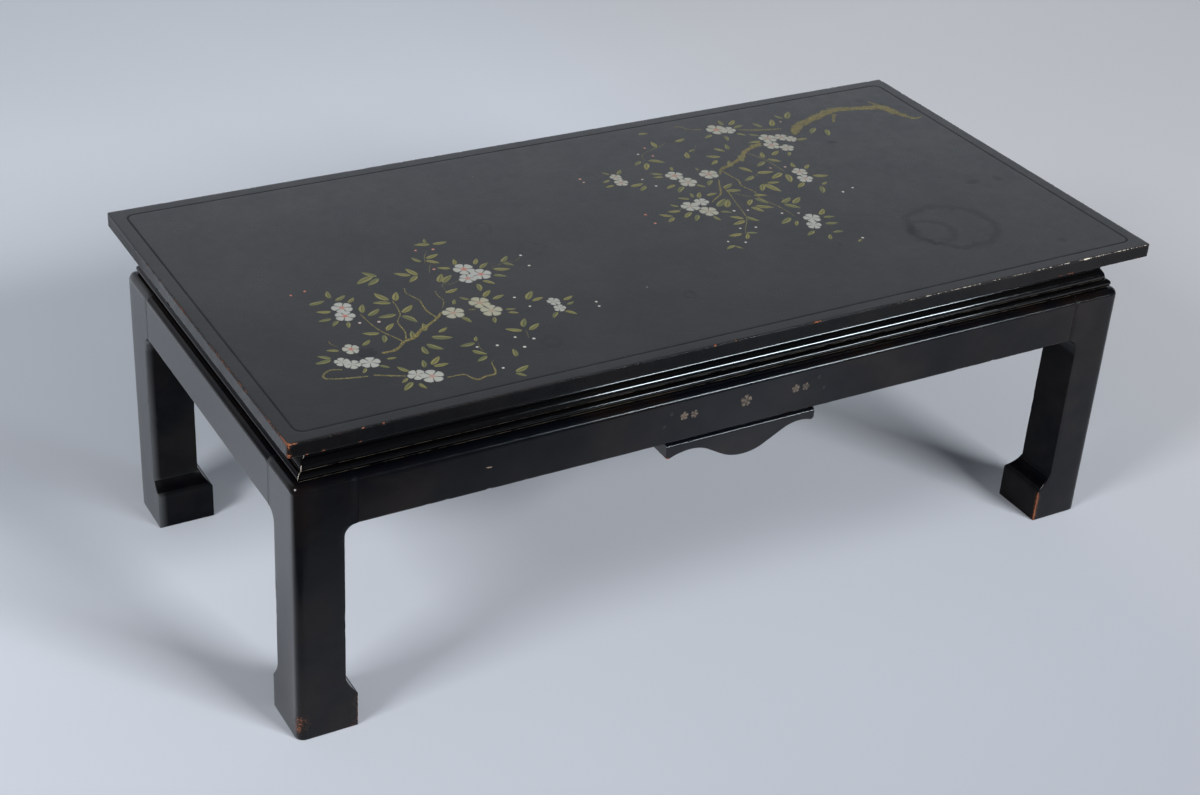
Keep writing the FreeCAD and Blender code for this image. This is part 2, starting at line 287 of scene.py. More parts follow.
def new_material(name):
    """Empty material with its node tree, and the object coordinates that its patterns stand on."""
    material = bpy.data.materials.new(name)
    material.use_nodes = True
    tree = material.node_tree
    tree.nodes.clear()
    return material, tree, add(tree, "ShaderNodeTexCoord").outputs["Object"]


def coated(tree, inputs):
    """Ends a material in one principled shader with these inputs, and returns the shader."""
    shader = add(tree, "ShaderNodeBsdfPrincipled", inputs)
    add(tree, "ShaderNodeOutputMaterial", {"Surface": shader.outputs[0]})
    return shader


# Clear film: how strongly the lacquer, and the oil in the paint, bend light
film_ior = 1.48


def lacquer(name, body, thin, roughness, peel, speck_share, level=0.5, stains=()):
    """Old brushed lacquer over a red brown ground and bare wood. It reflects as a clear film does, over a
    body that is all but black, and more where the mesh notes it polished, less where the note is below 0.
    Its surface swells in waves of 18 mm and less."""
    material, tree, place = new_material(name)
    cloud = noise(tree, place, 7.0, 5.0, 0.62)
    mottle = noise(tree, place, 55.0, 5.0, 0.65)
    crumb = noise(tree, place, 420.0, 3.0, 0.7)
    colour = mixed(tree, ranged(tree, cloud, 0.45, 0.7), body, thin)
    rough = ranged(tree, mottle, 0.3, 0.7, roughness * 0.82, roughness * 1.22)
    sheen = ranged(tree, scaled(tree, mottle, 0.35, cloud), 0.5, 0.86, level - 0.06, level + 0.06)
    polished = noted(tree, "polished")
    sheen = scaled(tree, polished, 0.95, sheen)
    clear_coat = scaled(tree, polished, 0.32, film_ior)

    # Worn places: the noted wear, broken up by crumbs of about 2 mm, bares first the dark ground and
    # then the wood, or a pale colour where the mesh notes a pale place; down the front left mitre that
    # pale colour is a painted highlight, standing in for a glint. Dust lies in the corners, and the faces
    # that nobody sees are matt.
    worn = noted(tree, "worn")
    crumbled = scaled(tree, crumb, 1.9, -0.95)
    wear = scaled(tree, crumbled, ranged(tree, worn, 0.02, 0.12), worn)
    ground = ranged(tree, wear, 0.34, 0.46)
    bare = ranged(tree, wear, 0.66, 0.76)
    under = mixed(tree, noted(tree, "pale"), mixed(tree, mottle, "#5a3121", "#a8694a"), "#c9c1b4")
    colour = mixed(tree, bare, mixed(tree, ground, colour, "#1c110d"), under)
    dust = maths(tree, "MULTIPLY", noted(tree, "dusty"), ranged(tree, mottle, 0.35, 0.62))
    colour = mixed(tree, dust, colour, "#5b544a")
    matt = noted(tree, "matt")
    dull = maths(tree, "MAXIMUM", maths(tree, "MAXIMUM", ground, dust), matt)
    rough = scaled(tree, dull, 0.35, rough)
    sheen = scaled(tree, matt, -0.17, sheen)

    # Stains: rings and dots with an uneven edge that have lost some of their sheen. A row is the centre,
    # the radius, the width of the ring and the strength.
    uneven = scaled(tree, mottle, 0.034, -0.017)
    patch = ranged(tree, cloud, 0.38, 0.62, start=0.25)
    for centre, radius, width, strength in stains:
        ends = {0: place, 1: centre}
        distance = add(tree, "ShaderNodeVectorMath", ends, operation="DISTANCE").outputs["Value"]
        off = maths(tree, "ADD", maths(tree, "SUBTRACT", distance, radius), uneven)
        off = maths(tree, "ABSOLUTE", off)
        ring = ranged(tree, off, width, width * 0.2, end=-strength * 0.45, interpolation_type="SMOOTHSTEP")
        sheen = scaled(tree, ring, patch, sheen)

    # Specks: a few pale crumbs of dust and paint, one in a cell of 14 mm at most
    cells = add(tree, "ShaderNodeTexVoronoi", {"Vector": place, "Scale": 70.0}).outputs
    chosen = add(tree, "ShaderNodeSeparateColor", {"Color": cells["Color"]}).outputs
    few = maths(tree, "GREATER_THAN", chosen[0], 1 - speck_share)
    dot = maths(tree, "LESS_THAN", cells["Distance"], ranged(tree, chosen[1], 0.0, 1.0, 0.03, 0.075))
    colour = mixed(tree, maths(tree, "MULTIPLY", few, dot), colour, "#8d857a")

    # Surface: brush swell, fine orange peel, and crumbled edges where it is worn
    swell = bumped(tree, mottle, peel, 0.0012)
    fine = bumped(tree, crumb, peel * 0.7, 0.00022, Normal=swell)
    shader = coated(tree, {
        "Base Color": colour, "Roughness": rough, "IOR": clear_coat, "Specular IOR Level": sheen,
        "Normal": bumped(tree, ground, 0.5, -0.0003, Normal=fine),
    })
    shader.inputs["IOR"].default_value = film_ior
    shader.inputs["Specular IOR Level"].default_value = level
    return material


# Satin lacquer: brushed black lacquer, dulled by handling. It gives a soft, slightly cool reflection.
satin_lacquer = lacquer("brushed_black_lacquer_satin", "#05060a", "#120b08", 0.17, 0.05, 0.010, level=0.31)

leg_low, leg_high = box_of("leg_front_left")
apron_low, apron_high = box_of("apron_front")
leg_blank = leg_high[0] - leg_low[0]
apron_underside = apron_low[2]
ledge_height = apron_high[2] - skin_inset
hollow = leg_blank - shank_width + skin_inset


def square_rings(low, high, heights, outer, side, inner):
    """Rounded squares stacked in height. A ring runs from low to high along both axes, and its four corners
    are quarter circles: the outer one, the two side ones and the inner one, with straight runs between."""
    turns = quarter_turn(7)
    radii = np.stack([outer, side, inner, side], 1)[:, :, None]
    starts = np.radians(np.array([180, 270, 0, 90]))[:, None]
    place_x = np.stack([low + outer, high - side, high - inner, low + side], 1)[:, :, None]
    place_y = np.stack([low + outer, low + side, high - inner, high - side], 1)[:, :, None]
    arcs = np.stack([place_x + radii * np.cos(starts + turns), place_y + radii * np.sin(starts + turns)], -1)
    share = np.linspace(0, 1, 8)[1:-1][:, None]
    runs = arcs[:, :, -1:, :] * (1 - share) + np.roll(arcs, -1, 1)[:, :, :1, :] * share
    flat = np.concatenate([arcs, runs], 2).reshape(len(heights), -1, 2)
    return np.concatenate([flat, np.broadcast_to(heights[:, None, None], flat.shape[:2] + (1,))], -1)


def leg_rings():
    """Skin of a leg in its own corner frame, ring by ring from the floor up: a foot with a rounded lower
    edge, the hoof's hollow shoulder, the shank, the quarter round under the aprons, and the head. At the
    head it runs past the solid's inner faces, which stay as they are."""
    inset = skin_inset
    past = leg_blank + 0.8
    rim = foot_round * (1 - np.sin(quarter_turn(5)))
    shoulder = np.linspace(0, 1, 15)[1:]
    dip = 2 * hoof_shoulder_hollow * shoulder * (1 - shoulder)
    shoulder_reach = leg_blank + (shank_width - leg_blank) * shoulder - 2 * dip
    shoulder_height = hoof_height + hoof_shoulder_rise * shoulder - dip
    shank = np.arange(hoof_height + hoof_shoulder_rise + 6, apron_underside - hollow - 2, 6.0)
    arch = quarter_turn(15)
    bull = quarter_turn(11)
    round_start = ledge_height - head_round_radius
    head = np.arange(apron_underside + inset + 0.3, round_start, 6.0)
    rows = [
        (rim, leg_blank - rim, foot_round * (1 - np.cos(quarter_turn(5)))),
        (np.zeros(8), np.full(8, leg_blank), np.linspace(5, hoof_height - 1.6, 8)),
        (np.zeros(2), leg_blank - np.array([0.2, 0.9]), hoof_height + np.array([-0.7, 0.4])),
        (0 * shoulder, shoulder_reach - 0.3 * (1 - shoulder), shoulder_height + 0.3 * (1 - shoulder)),
        (0 * shank, np.full(len(shank), shank_width), shank),
        (
            0 * arch, leg_blank + inset - hollow * np.cos(arch),
            apron_underside + inset - hollow + hollow * np.sin(arch),
        ),
        (0 * head, np.full(len(head), past), head),
        (
            head_round_radius * (1 - np.cos(bull)), np.full(len(bull), past),
            round_start + head_round_radius * np.sin(bull),
        ),
        (
            np.array([*ledge_insets, ledge_inset]), np.full(4, past),
            np.append(np.full(3, ledge_height), leg_high[2] + 12),
        ),
    ]
    low, high, heights = (np.concatenate(values) for values in zip(*rows))
    covered = high > leg_blank + 0.5
    high = high - inset
    low = low + inset
    outer = np.interp(low, [inset, inset + head_round_radius], [leg_corner_radius, 0.3])
    outer = np.where(heights > ledge_height - 0.01, 0.3, np.where(heights < 3, leg_corner_radius, outer))
    edge = np.stack([np.full_like(heights, 40.0), np.full_like(heights, 7.0), heights], 1)
    side = np.where(covered, 0.1, edge_radius(edge, 1.5, 1.2))
    return square_rings(low, high, heights, outer, side, side)


def placed_leg(points, side_x, side_y):
    """Points of the leg's corner frame moved to one corner of the table."""
    x = side_x * (-leg_low[0] - points[..., 0])
    y = side_y * (-leg_low[1] - points[..., 1])
    return np.stack([x, y, points[..., 2]], -1)


def uneven_skin(points, centre, amount):
    """Moves points towards a middle line by up to the amount, by a soft random value in waves of 45 mm."""
    to_centre = centre - points[..., :2]
    to_centre = to_centre / np.maximum(np.abs(to_centre).max(-1, keepdims=True), 1.0)
    moved = points.copy()
    moved[..., :2] += to_centre * (amount * soft_random(points, 45.0, 6))[..., None]
    return moved


def leg_wear(side_x, side_y):
    """Wear of a leg: rubbed upright edges and knocked lower edges of the foot. The front feet are bared
    along their inner edge, and the front left one is scuffed at its corner. The face toward the table's
    end is polished by hands, and the inner faces are matt."""
    def wear(points):
        a = -leg_low[0] - side_x * points[:, 0]
        b = -leg_low[1] - side_y * points[:, 1]
        z = points[:, 2]
        reach = np.interp(
            z, [hoof_height, hoof_height + hoof_shoulder_rise, arch_start, arch_end],
            [leg_blank, shank_width, shank_width, leg_blank],
        )
        outer = np.hypot(a - 3, b - 3)
        inner = np.minimum(np.hypot(a - reach, b), np.hypot(a, b - reach))
        upright = fading(np.minimum(outer / 3.5, inner / 1.6), 1.0)
        foot = fading(z, 2.2) * 0.9
        low = 0.55 + 0.6 * rise(140 - z, 0, 120)
        knocked = chipping(points) * 1.2 + 0.3 * rise(soft_random(points, 30.0, 9), 0.45, 0.9)
        dusty = (z > ledge_height - 0.05) * (np.minimum(a, b) > 13)
        matt = (np.maximum(a, b) > shank_width - 1.5) * (np.maximum(a, b) > reach - 1.5)
        worn = knocked * np.maximum(upright * low, foot)
        if side_y < 0:
            bared = (1.2 if side_x > 0 else 0.8) * fading(np.hypot(a - reach, b), 2.6) * rise(52 - z, 0, 8)
            worn = np.maximum(worn, bared)
        if side_x < 0 and side_y < 0:
            scuffed = np.exp(-((a - 5) ** 2 + (b - 5) ** 2) / 100 - ((z - 22) / 17) ** 2)
            worn = np.maximum(worn, (0.45 + 0.75 * soft_random(points, 7.0, 52)) * scuffed)
        return {"worn": worn, "dusty": dusty, "matt": matt, "polished": rise(8 - a, 0, 8) * rise(b, 2, 14)}
    return wear


for node, side_x, side_y in (
    ("leg_front_left", -1, -1),
    ("leg_front_right", 1, -1),
    ("leg_back_left", -1, 1),
    ("leg_back_right", 1, 1),
):
    middle = np.array([side_x, side_y]) * (-leg_low[:2] - leg_blank / 2)
    rings = uneven_skin(placed_leg(leg_rings(), side_x, side_y), middle, 0.18)
    worn_piece(node, rings, satin_lacquer, leg_wear(side_x, side_y))


# Aprons: boards tenoned between the leg heads and flush with them, with a rounded upper edge.
# Their lower edges are a little wavy from wear, and a hairline in the lacquer shows each joint.
apron_thickness = 30.0
hairline_depth = 0.1
hairline_width = 0.35
half_length, half_depth = -leg_low[0], -leg_low[1]

# Sides of the table: a row is the name, the turn from the front in degrees, half the side's length,
# and its distance from the middle.
sides = (
    ("front", 0, half_length, half_depth),
    ("right", 90, half_depth, half_length),
    ("back", 180, half_length, half_depth),
    ("left", 270, half_depth, half_length),
)


def turned(points, angle):
    """Points turned about the upright middle line of the table."""
    cosine, sine = np.cos(np.radians(angle)), np.sin(np.radians(angle))
    x, y, z = np.moveaxis(points, -1, 0)
    return np.stack([x * cosine - y * sine, x * sine + y * cosine, z], -1)


def apron_rings(half_run, half_cross):
    """Skin of an apron, ring by ring along its run: a board section whose lower corners are worn quarter
    circles and whose upper front corner is a half round moulding's quarter."""
    joint = half_run - leg_blank
    inner = np.arange(-joint + 4, joint - 3, 3.0)
    near = np.array([-joint, -joint + hairline_width, -joint + 1.5])
    ends = np.array([-joint - 34, -joint - 1.5])
    run = np.concatenate([ends, near, inner, -near[::-1], -ends[::-1]])[:, None]
    one = np.ones_like(run)
    edge = np.stack([run, -half_cross * one, apron_underside * one], -1)
    sag = 0.25 * soft_random(edge, 38.0, 11) + 0.1 * soft_random(edge, 12.0, 12)
    front = edge_radius(edge, 0.8, 1.6)
    back = 1.4
    turn = quarter_turn(5)[None, :]
    bull = quarter_turn(11)[None, :]
    bottom = apron_underside + skin_inset + sag
    round_start = ledge_height - head_round_radius
    face = np.linspace(3.5, round_start - apron_underside - 3, 8)[None, :]
    width = apron_thickness - skin_inset
    past_top = apron_high[2] + 6
    section = [
        (width - back * (1 - np.sin(turn[:, ::-1])), bottom + back * (1 - np.cos(turn[:, ::-1]))),
        (skin_inset + front * (1 - np.sin(turn)), bottom + front * (1 - np.cos(turn))),
        (skin_inset, apron_underside + face),
        (skin_inset + head_round_radius * (1 - np.cos(bull)), round_start + head_round_radius * np.sin(bull)),
        *((inset, ledge_height) for inset in ledge_insets),
        (ledge_inset, past_top),
        (width, past_top),
    ]
    pairs = [np.broadcast_arrays(inset * one, height * one) for inset, height in section]
    inset, height = (np.concatenate(parts, 1) for parts in zip(*pairs))
    crack = hairline_depth * np.clip(1 - np.abs(np.abs(run) - joint) / hairline_width, 0, 1)
    on_front = (inset < head_round_radius) & (height > apron_underside + 2)
    inset = inset + crack * on_front
    return np.stack([run + 0 * inset, inset - half_cross, height], -1)


def apron_wear(angle, half_cross):
    """Wear of an apron: its lower front edge is knocked. The end aprons and the middle of the long ones
    are polished by hands."""
    def wear(points):
        x, y, z = np.moveaxis(turned(points, -angle), -1, 0)
        lower = fading(np.hypot(y + half_cross, z - apron_underside), 1.8)
        worn = lower * chipping(points) * 1.2
        dusty = (z > ledge_height - 0.05) * (y + half_cross > 13)
        matt = y + half_cross > apron_thickness - 2
        polished = rise(1.5 - y - half_cross, 0, 1) * (1 if angle % 180 == 90 else 0.17 * fading(x, 150))
        return {"worn": worn, "dusty": dusty, "matt": matt, "polished": polished}
    return wear


for side, angle, half_run, half_cross in sides:
    rings = turned(apron_rings(half_run, half_cross), angle)
    worn_piece("apron_" + side, rings, satin_lacquer, apron_wear(angle, half_cross))


# Pendants: ogee brackets sawn from a board and stub tenoned up into the long aprons.
# Their sawn edges are eased by hand, and the left toe is knocked down to the wood.
toe_x, toe_z = -114, 272
for side, facing in (("front", -1), ("back", 1)):
    mesh = merged_copy("pendant_" + side)
    mesh.name = "pendant_" + side + "_lacquered"
    places = points_of(mesh)
    toe = np.hypot(places[:, 0] - toe_x, places[:, 2] - toe_z) < 4
    note(mesh, "worn", 0.85 * toe * (facing * places[:, 1] > half_depth + 2))
    note(mesh, "polished", np.full(len(places), 0.17))
    piece = finished(mesh.name, mesh, satin_lacquer)
    eased = piece.modifiers.new("eased_edges", "BEVEL")
    eased.width = 0.25 * mm
    eased.segments = 3
    eased.limit_method = "ANGLE"
    eased.angle_limit = np.radians(40)
    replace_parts(piece, "pendant_" + side)


# Step moulding: a mitred strip with a half round nose, pinned down on the ledge of the aprons.
# Its lacquer is the glossiest on the table, because nothing rubs it.
gloss_lacquer = lacquer("polished_black_lacquer", "#030304", "#070504", 0.09, 0.03, 0.010)
moulding_low, moulding_high = box_of("moulding_front")
moulding_inset = moulding_low[1] + half_depth
strip_back = 36.0
tongue_front = 27.0
tongue_back = 32.0
groove_depth = 5.0
dust_insets = (16.5, 16.1)
strip_pieces = 176
mitre_round = 1.2


def mitred_rings(section, half_run, half_cross):
    """Strip along the front from a closed section of insets and heights. Both ends bend through 45
    degrees with a round of 1.2 mm, so a point's run is its half run less its inset in the mitre.
    The strip wanders in and out by a twentieth of a mm."""
    straight = strip_pieces - 6
    bend = np.radians(np.concatenate([[-45, -30, -15], np.zeros(straight), [15, 30, 45]]))[:, None]
    share = np.concatenate([[-1] * 3, np.linspace(-1, 1, straight), [1] * 3])[:, None]
    inset = section[:, 0][None, :] + mitre_round * (1 - np.cos(bend))
    height = section[:, 1][None, :]
    run = share * (half_run - section[:, 0][None, :] - mitre_round) + mitre_round * np.sin(bend)
    wander = 0.1 * (soft_random(np.stack([run, 0 * run + half_cross, 0 * run + height], -1), 55.0, 21) - 0.5)
    return np.stack([run, inset - half_cross + wander * (inset < tongue_front - 1), height + 0 * run], -1)


def moulding_section():
    """Closed section of the step moulding: a half round nose in front and the waist's groove on top."""
    low, high = moulding_low[2], moulding_high[2]
    radius = (high - low) / 2
    turn = np.radians(np.linspace(90, 270, 25))
    nose_inset = moulding_inset + radius + radius * np.cos(turn)
    nose = np.stack([nose_inset, low + radius + radius * np.sin(turn)], 1)
    back = [
        (strip_back, low), (strip_back, high), (tongue_back, high), (tongue_back, high - groove_depth),
        (tongue_front, high - groove_depth), (tongue_front, high),
        *((inset, high) for inset in (*dust_insets, 16.0)),
    ]
    return np.concatenate([back, nose])


def mitred_strips(kind, section, dusty, material):
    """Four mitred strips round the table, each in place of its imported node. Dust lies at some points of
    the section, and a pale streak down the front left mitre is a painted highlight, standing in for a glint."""
    for side, angle, half_run, half_cross in sides:
        node = kind + "_" + side
        mesh = closed_rings(node + "_lacquered", turned(mitred_rings(section, half_run, half_cross), angle))
        note(mesh, "dusty", np.tile(dusty, strip_pieces))
        places = points_of(mesh)
        inset_x, inset_y = places[:, 0] + half_length, places[:, 1] + half_depth
        # Painted highlight: a pale streak down the front left mitre stands in for the glint of a lamp on it
        painted_mitre_glint = (np.abs(inset_x - inset_y) < 0.5) * (inset_x < tongue_front - 1)
        note(mesh, "worn", 0.82 * painted_mitre_glint * rise(soft_random(places, 6.0, 51), 0.46, 0.6))
        note(mesh, "pale", painted_mitre_glint * 1.0)
        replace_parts(finished(node + "_lacquered", mesh, material), node)


section = moulding_section()
mitred_strips("moulding", section, np.isin(section[:, 0], dust_insets), gloss_lacquer)


# Moulding pins: short bamboo pins under the waist that hold the moulding down. They are split
# from the cane and shaved round, so straight fibres run along them.
def fibrous(name, pale, dark, scale, stretch, roughness, fibre_axis):
    """Bare wood or cane: fibres stretched along one axis, pale and dark by turns, over a broad figure."""
    material, tree, place = new_material(name)
    size = [scale, scale, scale]
    size[fibre_axis] = scale / stretch
    fitted = add(tree, "ShaderNodeMapping", {"Vector": place, "Scale": size}).outputs[0]
    fibre = noise(tree, fitted, 1.0, 6.0, 0.65, 0.3)
    tone = ranged(tree, maths(tree, "MULTIPLY", fibre, noise(tree, fitted, 0.12, 2.0)), 0.12, 0.38)
    coated(tree, {
        "Base Color": mixed(tree, tone, dark, pale), "Roughness": roughness, "IOR": 1.5,
        "Normal": bumped(tree, fibre, 0.5, 0.0004),
    })
    return material


bare_bamboo = fibrous("shaved_bamboo", "#c9ab74", "#8a6a3c", 2200.0, 20.0, 0.55, 2)
nodes["moulding_pins"].material_slots[0].material = bare_bamboo


# Waist: a mitred band set back under the top, rounded at its foot and hollow above, tongued into
# the moulding below and into the top frame. It has the same polish as the moulding.
waist_low, waist_high = box_of("waist_front")
waist_foot_inset = 16.5
waist_neck_inset = 22.0
waist_foot_height = 13.5
waist_foot_bulge = 1.8
waist_hollow = 2.5
waist_tongue = 4.0


def waist_section():
    """Closed section of the waist. The foot and the band are parabolas: the straight line between their
    ends, moved out by the bulge or in by the hollow, times 4t(1 - t)."""
    low, high = moulding_high[2], box_of("top_rail_front")[0][2]
    share = np.linspace(0, 1, 19)
    bow = 4 * share * (1 - share)
    neck = low + waist_foot_height
    foot_inset = waist_foot_inset + (waist_neck_inset - waist_foot_inset) * share - waist_foot_bulge * bow
    foot = np.stack([foot_inset, low + waist_foot_height * share], 1)
    foot = np.insert(foot, 1, (foot[0] + foot[1]) / 2, 0)
    band = np.stack([waist_neck_inset + waist_hollow * bow, neck + (high - neck) * share], 1)
    lower = [
        (strip_back, low), (tongue_back, low), (tongue_back, low - waist_tongue),
        (tongue_front, low - waist_tongue), (tongue_front, low),
    ]
    upper = [
        (tongue_front, high), (tongue_front, waist_high[2]), (tongue_back, waist_high[2]),
        (tongue_back, high), (strip_back, high),
    ]
    return np.concatenate([lower, foot, band[1:], upper])


section = waist_section()
at_foot = (section[:, 0] < waist_foot_inset + 0.5) & (section[:, 1] < waist_low[2] + waist_tongue + 0.1)
mitred_strips("waist", section, at_foot, gloss_lacquer)


# Top: two end stiles and two long rails tenoned together round a flush panel, all under one coat of
# lacquer. A shallow line is cut round the margin, and the edges are chipped down to the wood.
top_low = box_of("top_stile_left")[0]
top_half_length, top_half_depth = -top_low[0], -top_low[1]
top_underside, top_height = top_low[2], box_of("top_stile_left")[1][2]
field_height = top_height - 0.12
edge_inset = 0.05
stile_width = 79.0
joint_run = top_half_length - stile_width
corner_wear = 2.5
line_corner = 30.0

# Stains on the top: rings and dots left by wet cups, in metres from the middle of the table.
# A row is x, y, radius, width of the ring and strength.
stain_height = 0.43188
top_stains = (
    (-0.190, 0.078, 0.0145, 0.003, 0.35),
    (-0.156, 0.003, 0.017, 0.003, 0.35),
    (-0.156, 0.003, 0.0, 0.006, 0.8),
    (0.399, 0.135, 0.0, 0.010, 0.8),
    (0.394, -0.157, 0.060, 0.009, 0.55),
    (0.358, -0.160, 0.030, 0.008, 0.45),
    (-0.034, -0.182, 0.008, 0.004, 0.4),
    (0.221, -0.144, 0.0, 0.005, 0.8),
    (0.510, -0.053, 0.0, 0.012, 0.6),
    (0.550, -0.060, 0.0, 0.010, 0.6),
    (0.507, -0.247, 0.0, 0.009, 0.5),
    (0.530, 0.245, 0.0, 0.012, 0.5),
    (-0.245, -0.219, 0.010, 0.004, 0.35),
)
top_lacquer = lacquer(
    "aged_black_lacquer_top", "#07080a", "#0e0a09", 0.29, 0.06, 0.015,
    stains=[((x, y, stain_height), *ring) for x, y, *ring in top_stains],
)

# Chips along the front edge: a row is x, height and size
front_chips = (
    (-569, top_underside, 3.6), (-588, top_underside, 3.0), (-526, top_underside, 2.2),
    (-522, top_height, 2.4), (-498, top_height, 2.6), (590, top_underside, 3.4),
)

# Margin with the line cut into it: a row is inset and depth
margin = (
    (4, 0), (7, 0), (11, 0), (15, 0), (16.4, 0.015), (17.3, 0.06), (18, 0.1), (18.6, 0.1),
    (19.3, 0.06), (20.2, 0.015), (21.4, 0), (26, 0), (30, 0),
)


def top_stations():
    """Places round the edge of the top, 2.5 mm apart, with close ones at the joints of the frame."""
    joints = [sign * joint_run + step for sign in (-1, 1) for step in (-0.5, 0, 0.5)]
    long = np.unique(np.concatenate([np.linspace(-top_half_length, top_half_length, 489), joints]))[:-1]
    short = np.linspace(-top_half_depth, top_half_depth, 245)[:-1]
    front = np.stack([long, np.full_like(long, -top_half_depth)], 1)
    right = np.stack([np.full_like(short, top_half_length), short], 1)
    return np.concatenate([front, right, -front, -right])


def top_edge_radius(x, y, z, chip):
    """Radius of the worn edge of the top at a place on its edge. The left edge is more worn in stretches,
    and the front left corner is the most worn."""
    place = np.stack([x, y, z + 0 * x], -1)
    corner = fading(np.hypot(x + top_half_length, y + top_half_depth), 16.0)
    left = 0.5 * (x < 0.1 - top_half_length) * rise(soft_random(place, 60.0, 31), 0.4, 0.8)
    return edge_radius(place, 0.75, chip) * (1 + left) + 1.1 * corner


def top_rings():
    """Skin of the whole top, ring by ring from the underside out, up its edge and in over the top. A ring
    is the outline drawn in by its inset. The line cut round the margin is a shallow hollow."""
    edge = top_stations()
    x, y = edge[:, 0], edge[:, 1]
    lower = top_edge_radius(x, y, top_underside, 1.5)
    upper = top_edge_radius(x, y, top_height, 1.3)
    turn = quarter_turn(5)
    base = top_underside + 0.04
    rings = [(inset + 0 * x, base) for inset in (30, 10, 4)]
    rings += [(edge_inset + lower * (1 - np.cos(t)), base + lower * (1 - np.sin(t))) for t in turn[::-1]]
    crack = 0.12 * np.clip(1 - np.abs(np.abs(x) - joint_run) / 0.5, 0, 1)
    face = edge_inset + crack + 0.1 * soft_random(np.stack([x, y, 0 * x], -1), 40.0, 32)
    rings += [(face, height) for height in np.linspace(base + 3.6, field_height - 3.6, 4)]
    rings += [(edge_inset + upper * (1 - np.cos(t)), field_height - upper * (1 - np.sin(t))) for t in turn]
    rings += [(inset + 0 * x, field_height - depth) for inset, depth in margin]
    inset = np.stack([ring[0] for ring in rings])
    height = np.stack([ring[1] + 0 * x for ring in rings])
    place_x = x * (top_half_length - inset) / top_half_length
    place_y = y * (top_half_depth - inset) / top_half_depth
    # Corners: the line turns on a round, and the outline's own corner is slightly worn
    for size, share in ((line_corner, rise(inset, 6, 14)), (corner_wear, 1 - rise(inset, 0, 2))):
        in_x, in_y = np.abs(place_x) - top_half_length + size, np.abs(place_y) - top_half_depth + size
        in_corner = (in_x > 0) & (in_y > 0)
        square = np.maximum(in_x, in_y) / np.maximum(np.hypot(in_x, in_y), 1e-6)
        scale = np.where(in_corner, 1 - share + share * square, 1)
        place_x = np.where(in_corner, np.sign(place_x) * (top_half_length - size + in_x * scale), place_x)
        place_y = np.where(in_corner, np.sign(place_y) * (top_half_depth - size + in_y * scale), place_y)
    return np.stack([place_x, place_y, height], -1)


def top_wear(points):
    """Wear of the top: dark chips where the edge's radius is large. The left edge, the front left corner
    and the front chips are bare wood, and the front edge has pale flecks toward the right. The cut line
    is matt. The left edge is polished toward the front, and the front edge is dull."""
    x, y, z = np.moveaxis(points, -1, 0)
    gap_x, gap_y = top_half_length - np.abs(x), top_half_depth - np.abs(y)
    near_end = gap_x < gap_y
    edge_x = np.where(near_end, np.sign(x) * top_half_length, x)
    edge_y = np.where(near_end, y, np.sign(y) * top_half_depth)
    gap = np.minimum(gap_x, gap_y)
    worn = 0
    for height, chip in ((top_height, 1.3), (top_underside, 1.5)):
        radius = top_edge_radius(edge_x, edge_y, height, chip)
        away = np.hypot(gap, z - height)
        worn = worn + 0.75 * rise(radius, 0.8, 1.9) * (1 - rise(away, radius * 0.8, radius * 1.3))
    from_edge = np.hypot(gap, z - top_height)
    left = near_end & (x < 0)
    front = ~near_end & (y < 0)
    along_left = rise(180 - y, 0, 160) * (0.35 + 0.5 * soft_random(points, 18.0, 33))
    crumbly = 0.55 * rise(-240 - x, 0, 60) * (0.4 + 0.6 * soft_random(points, 8.0, 34))
    flecked = rise(x, 60, 260) * (0.62 + 0.34 * soft_random(points, 9.0, 35)) * fading(from_edge, 0.9)
    worn = worn + fading(from_edge, 1.5) * (left * along_left + front * crumbly) + front * flecked
    off_edge = np.minimum(np.abs(z - top_height), np.abs(z - top_underside))
    corner = np.hypot(np.hypot(x + top_half_length, y + top_half_depth) / 5.5, off_edge / 11)
    worn = np.maximum(worn, (0.55 + 0.5 * soft_random(points, 5.0, 36)) * np.exp(-corner ** 4))
    for spot_x, spot_z, size in front_chips:
        away = ((x - spot_x) / size) ** 2 + ((z - spot_z) / 2.2) ** 2 + (gap / 2.2) ** 2
        worn = np.maximum(worn, front * np.exp(-away))
    polished = (z < top_height - 2) * (left * (0.35 - 0.7 * rise(y, 40, 200)) - 0.22 * front)
    line = (gap > 12) * (gap < 32) * (z > top_height - 2) * rise(field_height - z, 0.02, 0.08)
    pale = front * rise(x, 120, 200) * (z > top_height - 4)
    return {"worn": worn, "pale": pale, "polished": polished, "matt": 0.9 * line}


top_skin = top_rings()
for node in ("top_stile_left", "top_stile_right", "top_rail_front", "top_rail_back", "top_panel"):
    worn_piece(node, top_skin, top_lacquer, top_wear)


# Battens: three bars planed from plain wood, dovetailed across the underside of the panel.
# They are left bare, and are seen only from below.
planed_wood = fibrous("planed_bare_wood", "#8a6140", "#4a2f1c", 420.0, 18.0, 0.62, 1)
for name in ("left", "middle", "right"):
    nodes["batten_" + name].material_slots[0].material = planed_wood


# Painted sprays: two blossoming branches in oil paint, laid on the top in a coat that stands a tenth
# of a millimetre proud. Places are read on two sheets of squares, one for each spray. A sheet is given
# by the place of its upper left corner on the top.
square = 0.389
left_sheet = (-607.3, 71.67)
right_sheet = (0.0, top_half_depth)
paint_sink = 0.03
paint_foot = field_height - paint_sink


def on_sheet(sheet, points):
    """Places on the top in millimetres from squares across and down from the sheet's upper left corner."""
    points = np.asarray(points, float)
    return np.stack([sheet[0] + square * points[..., 0], sheet[1] - square * points[..., 1]], -1)


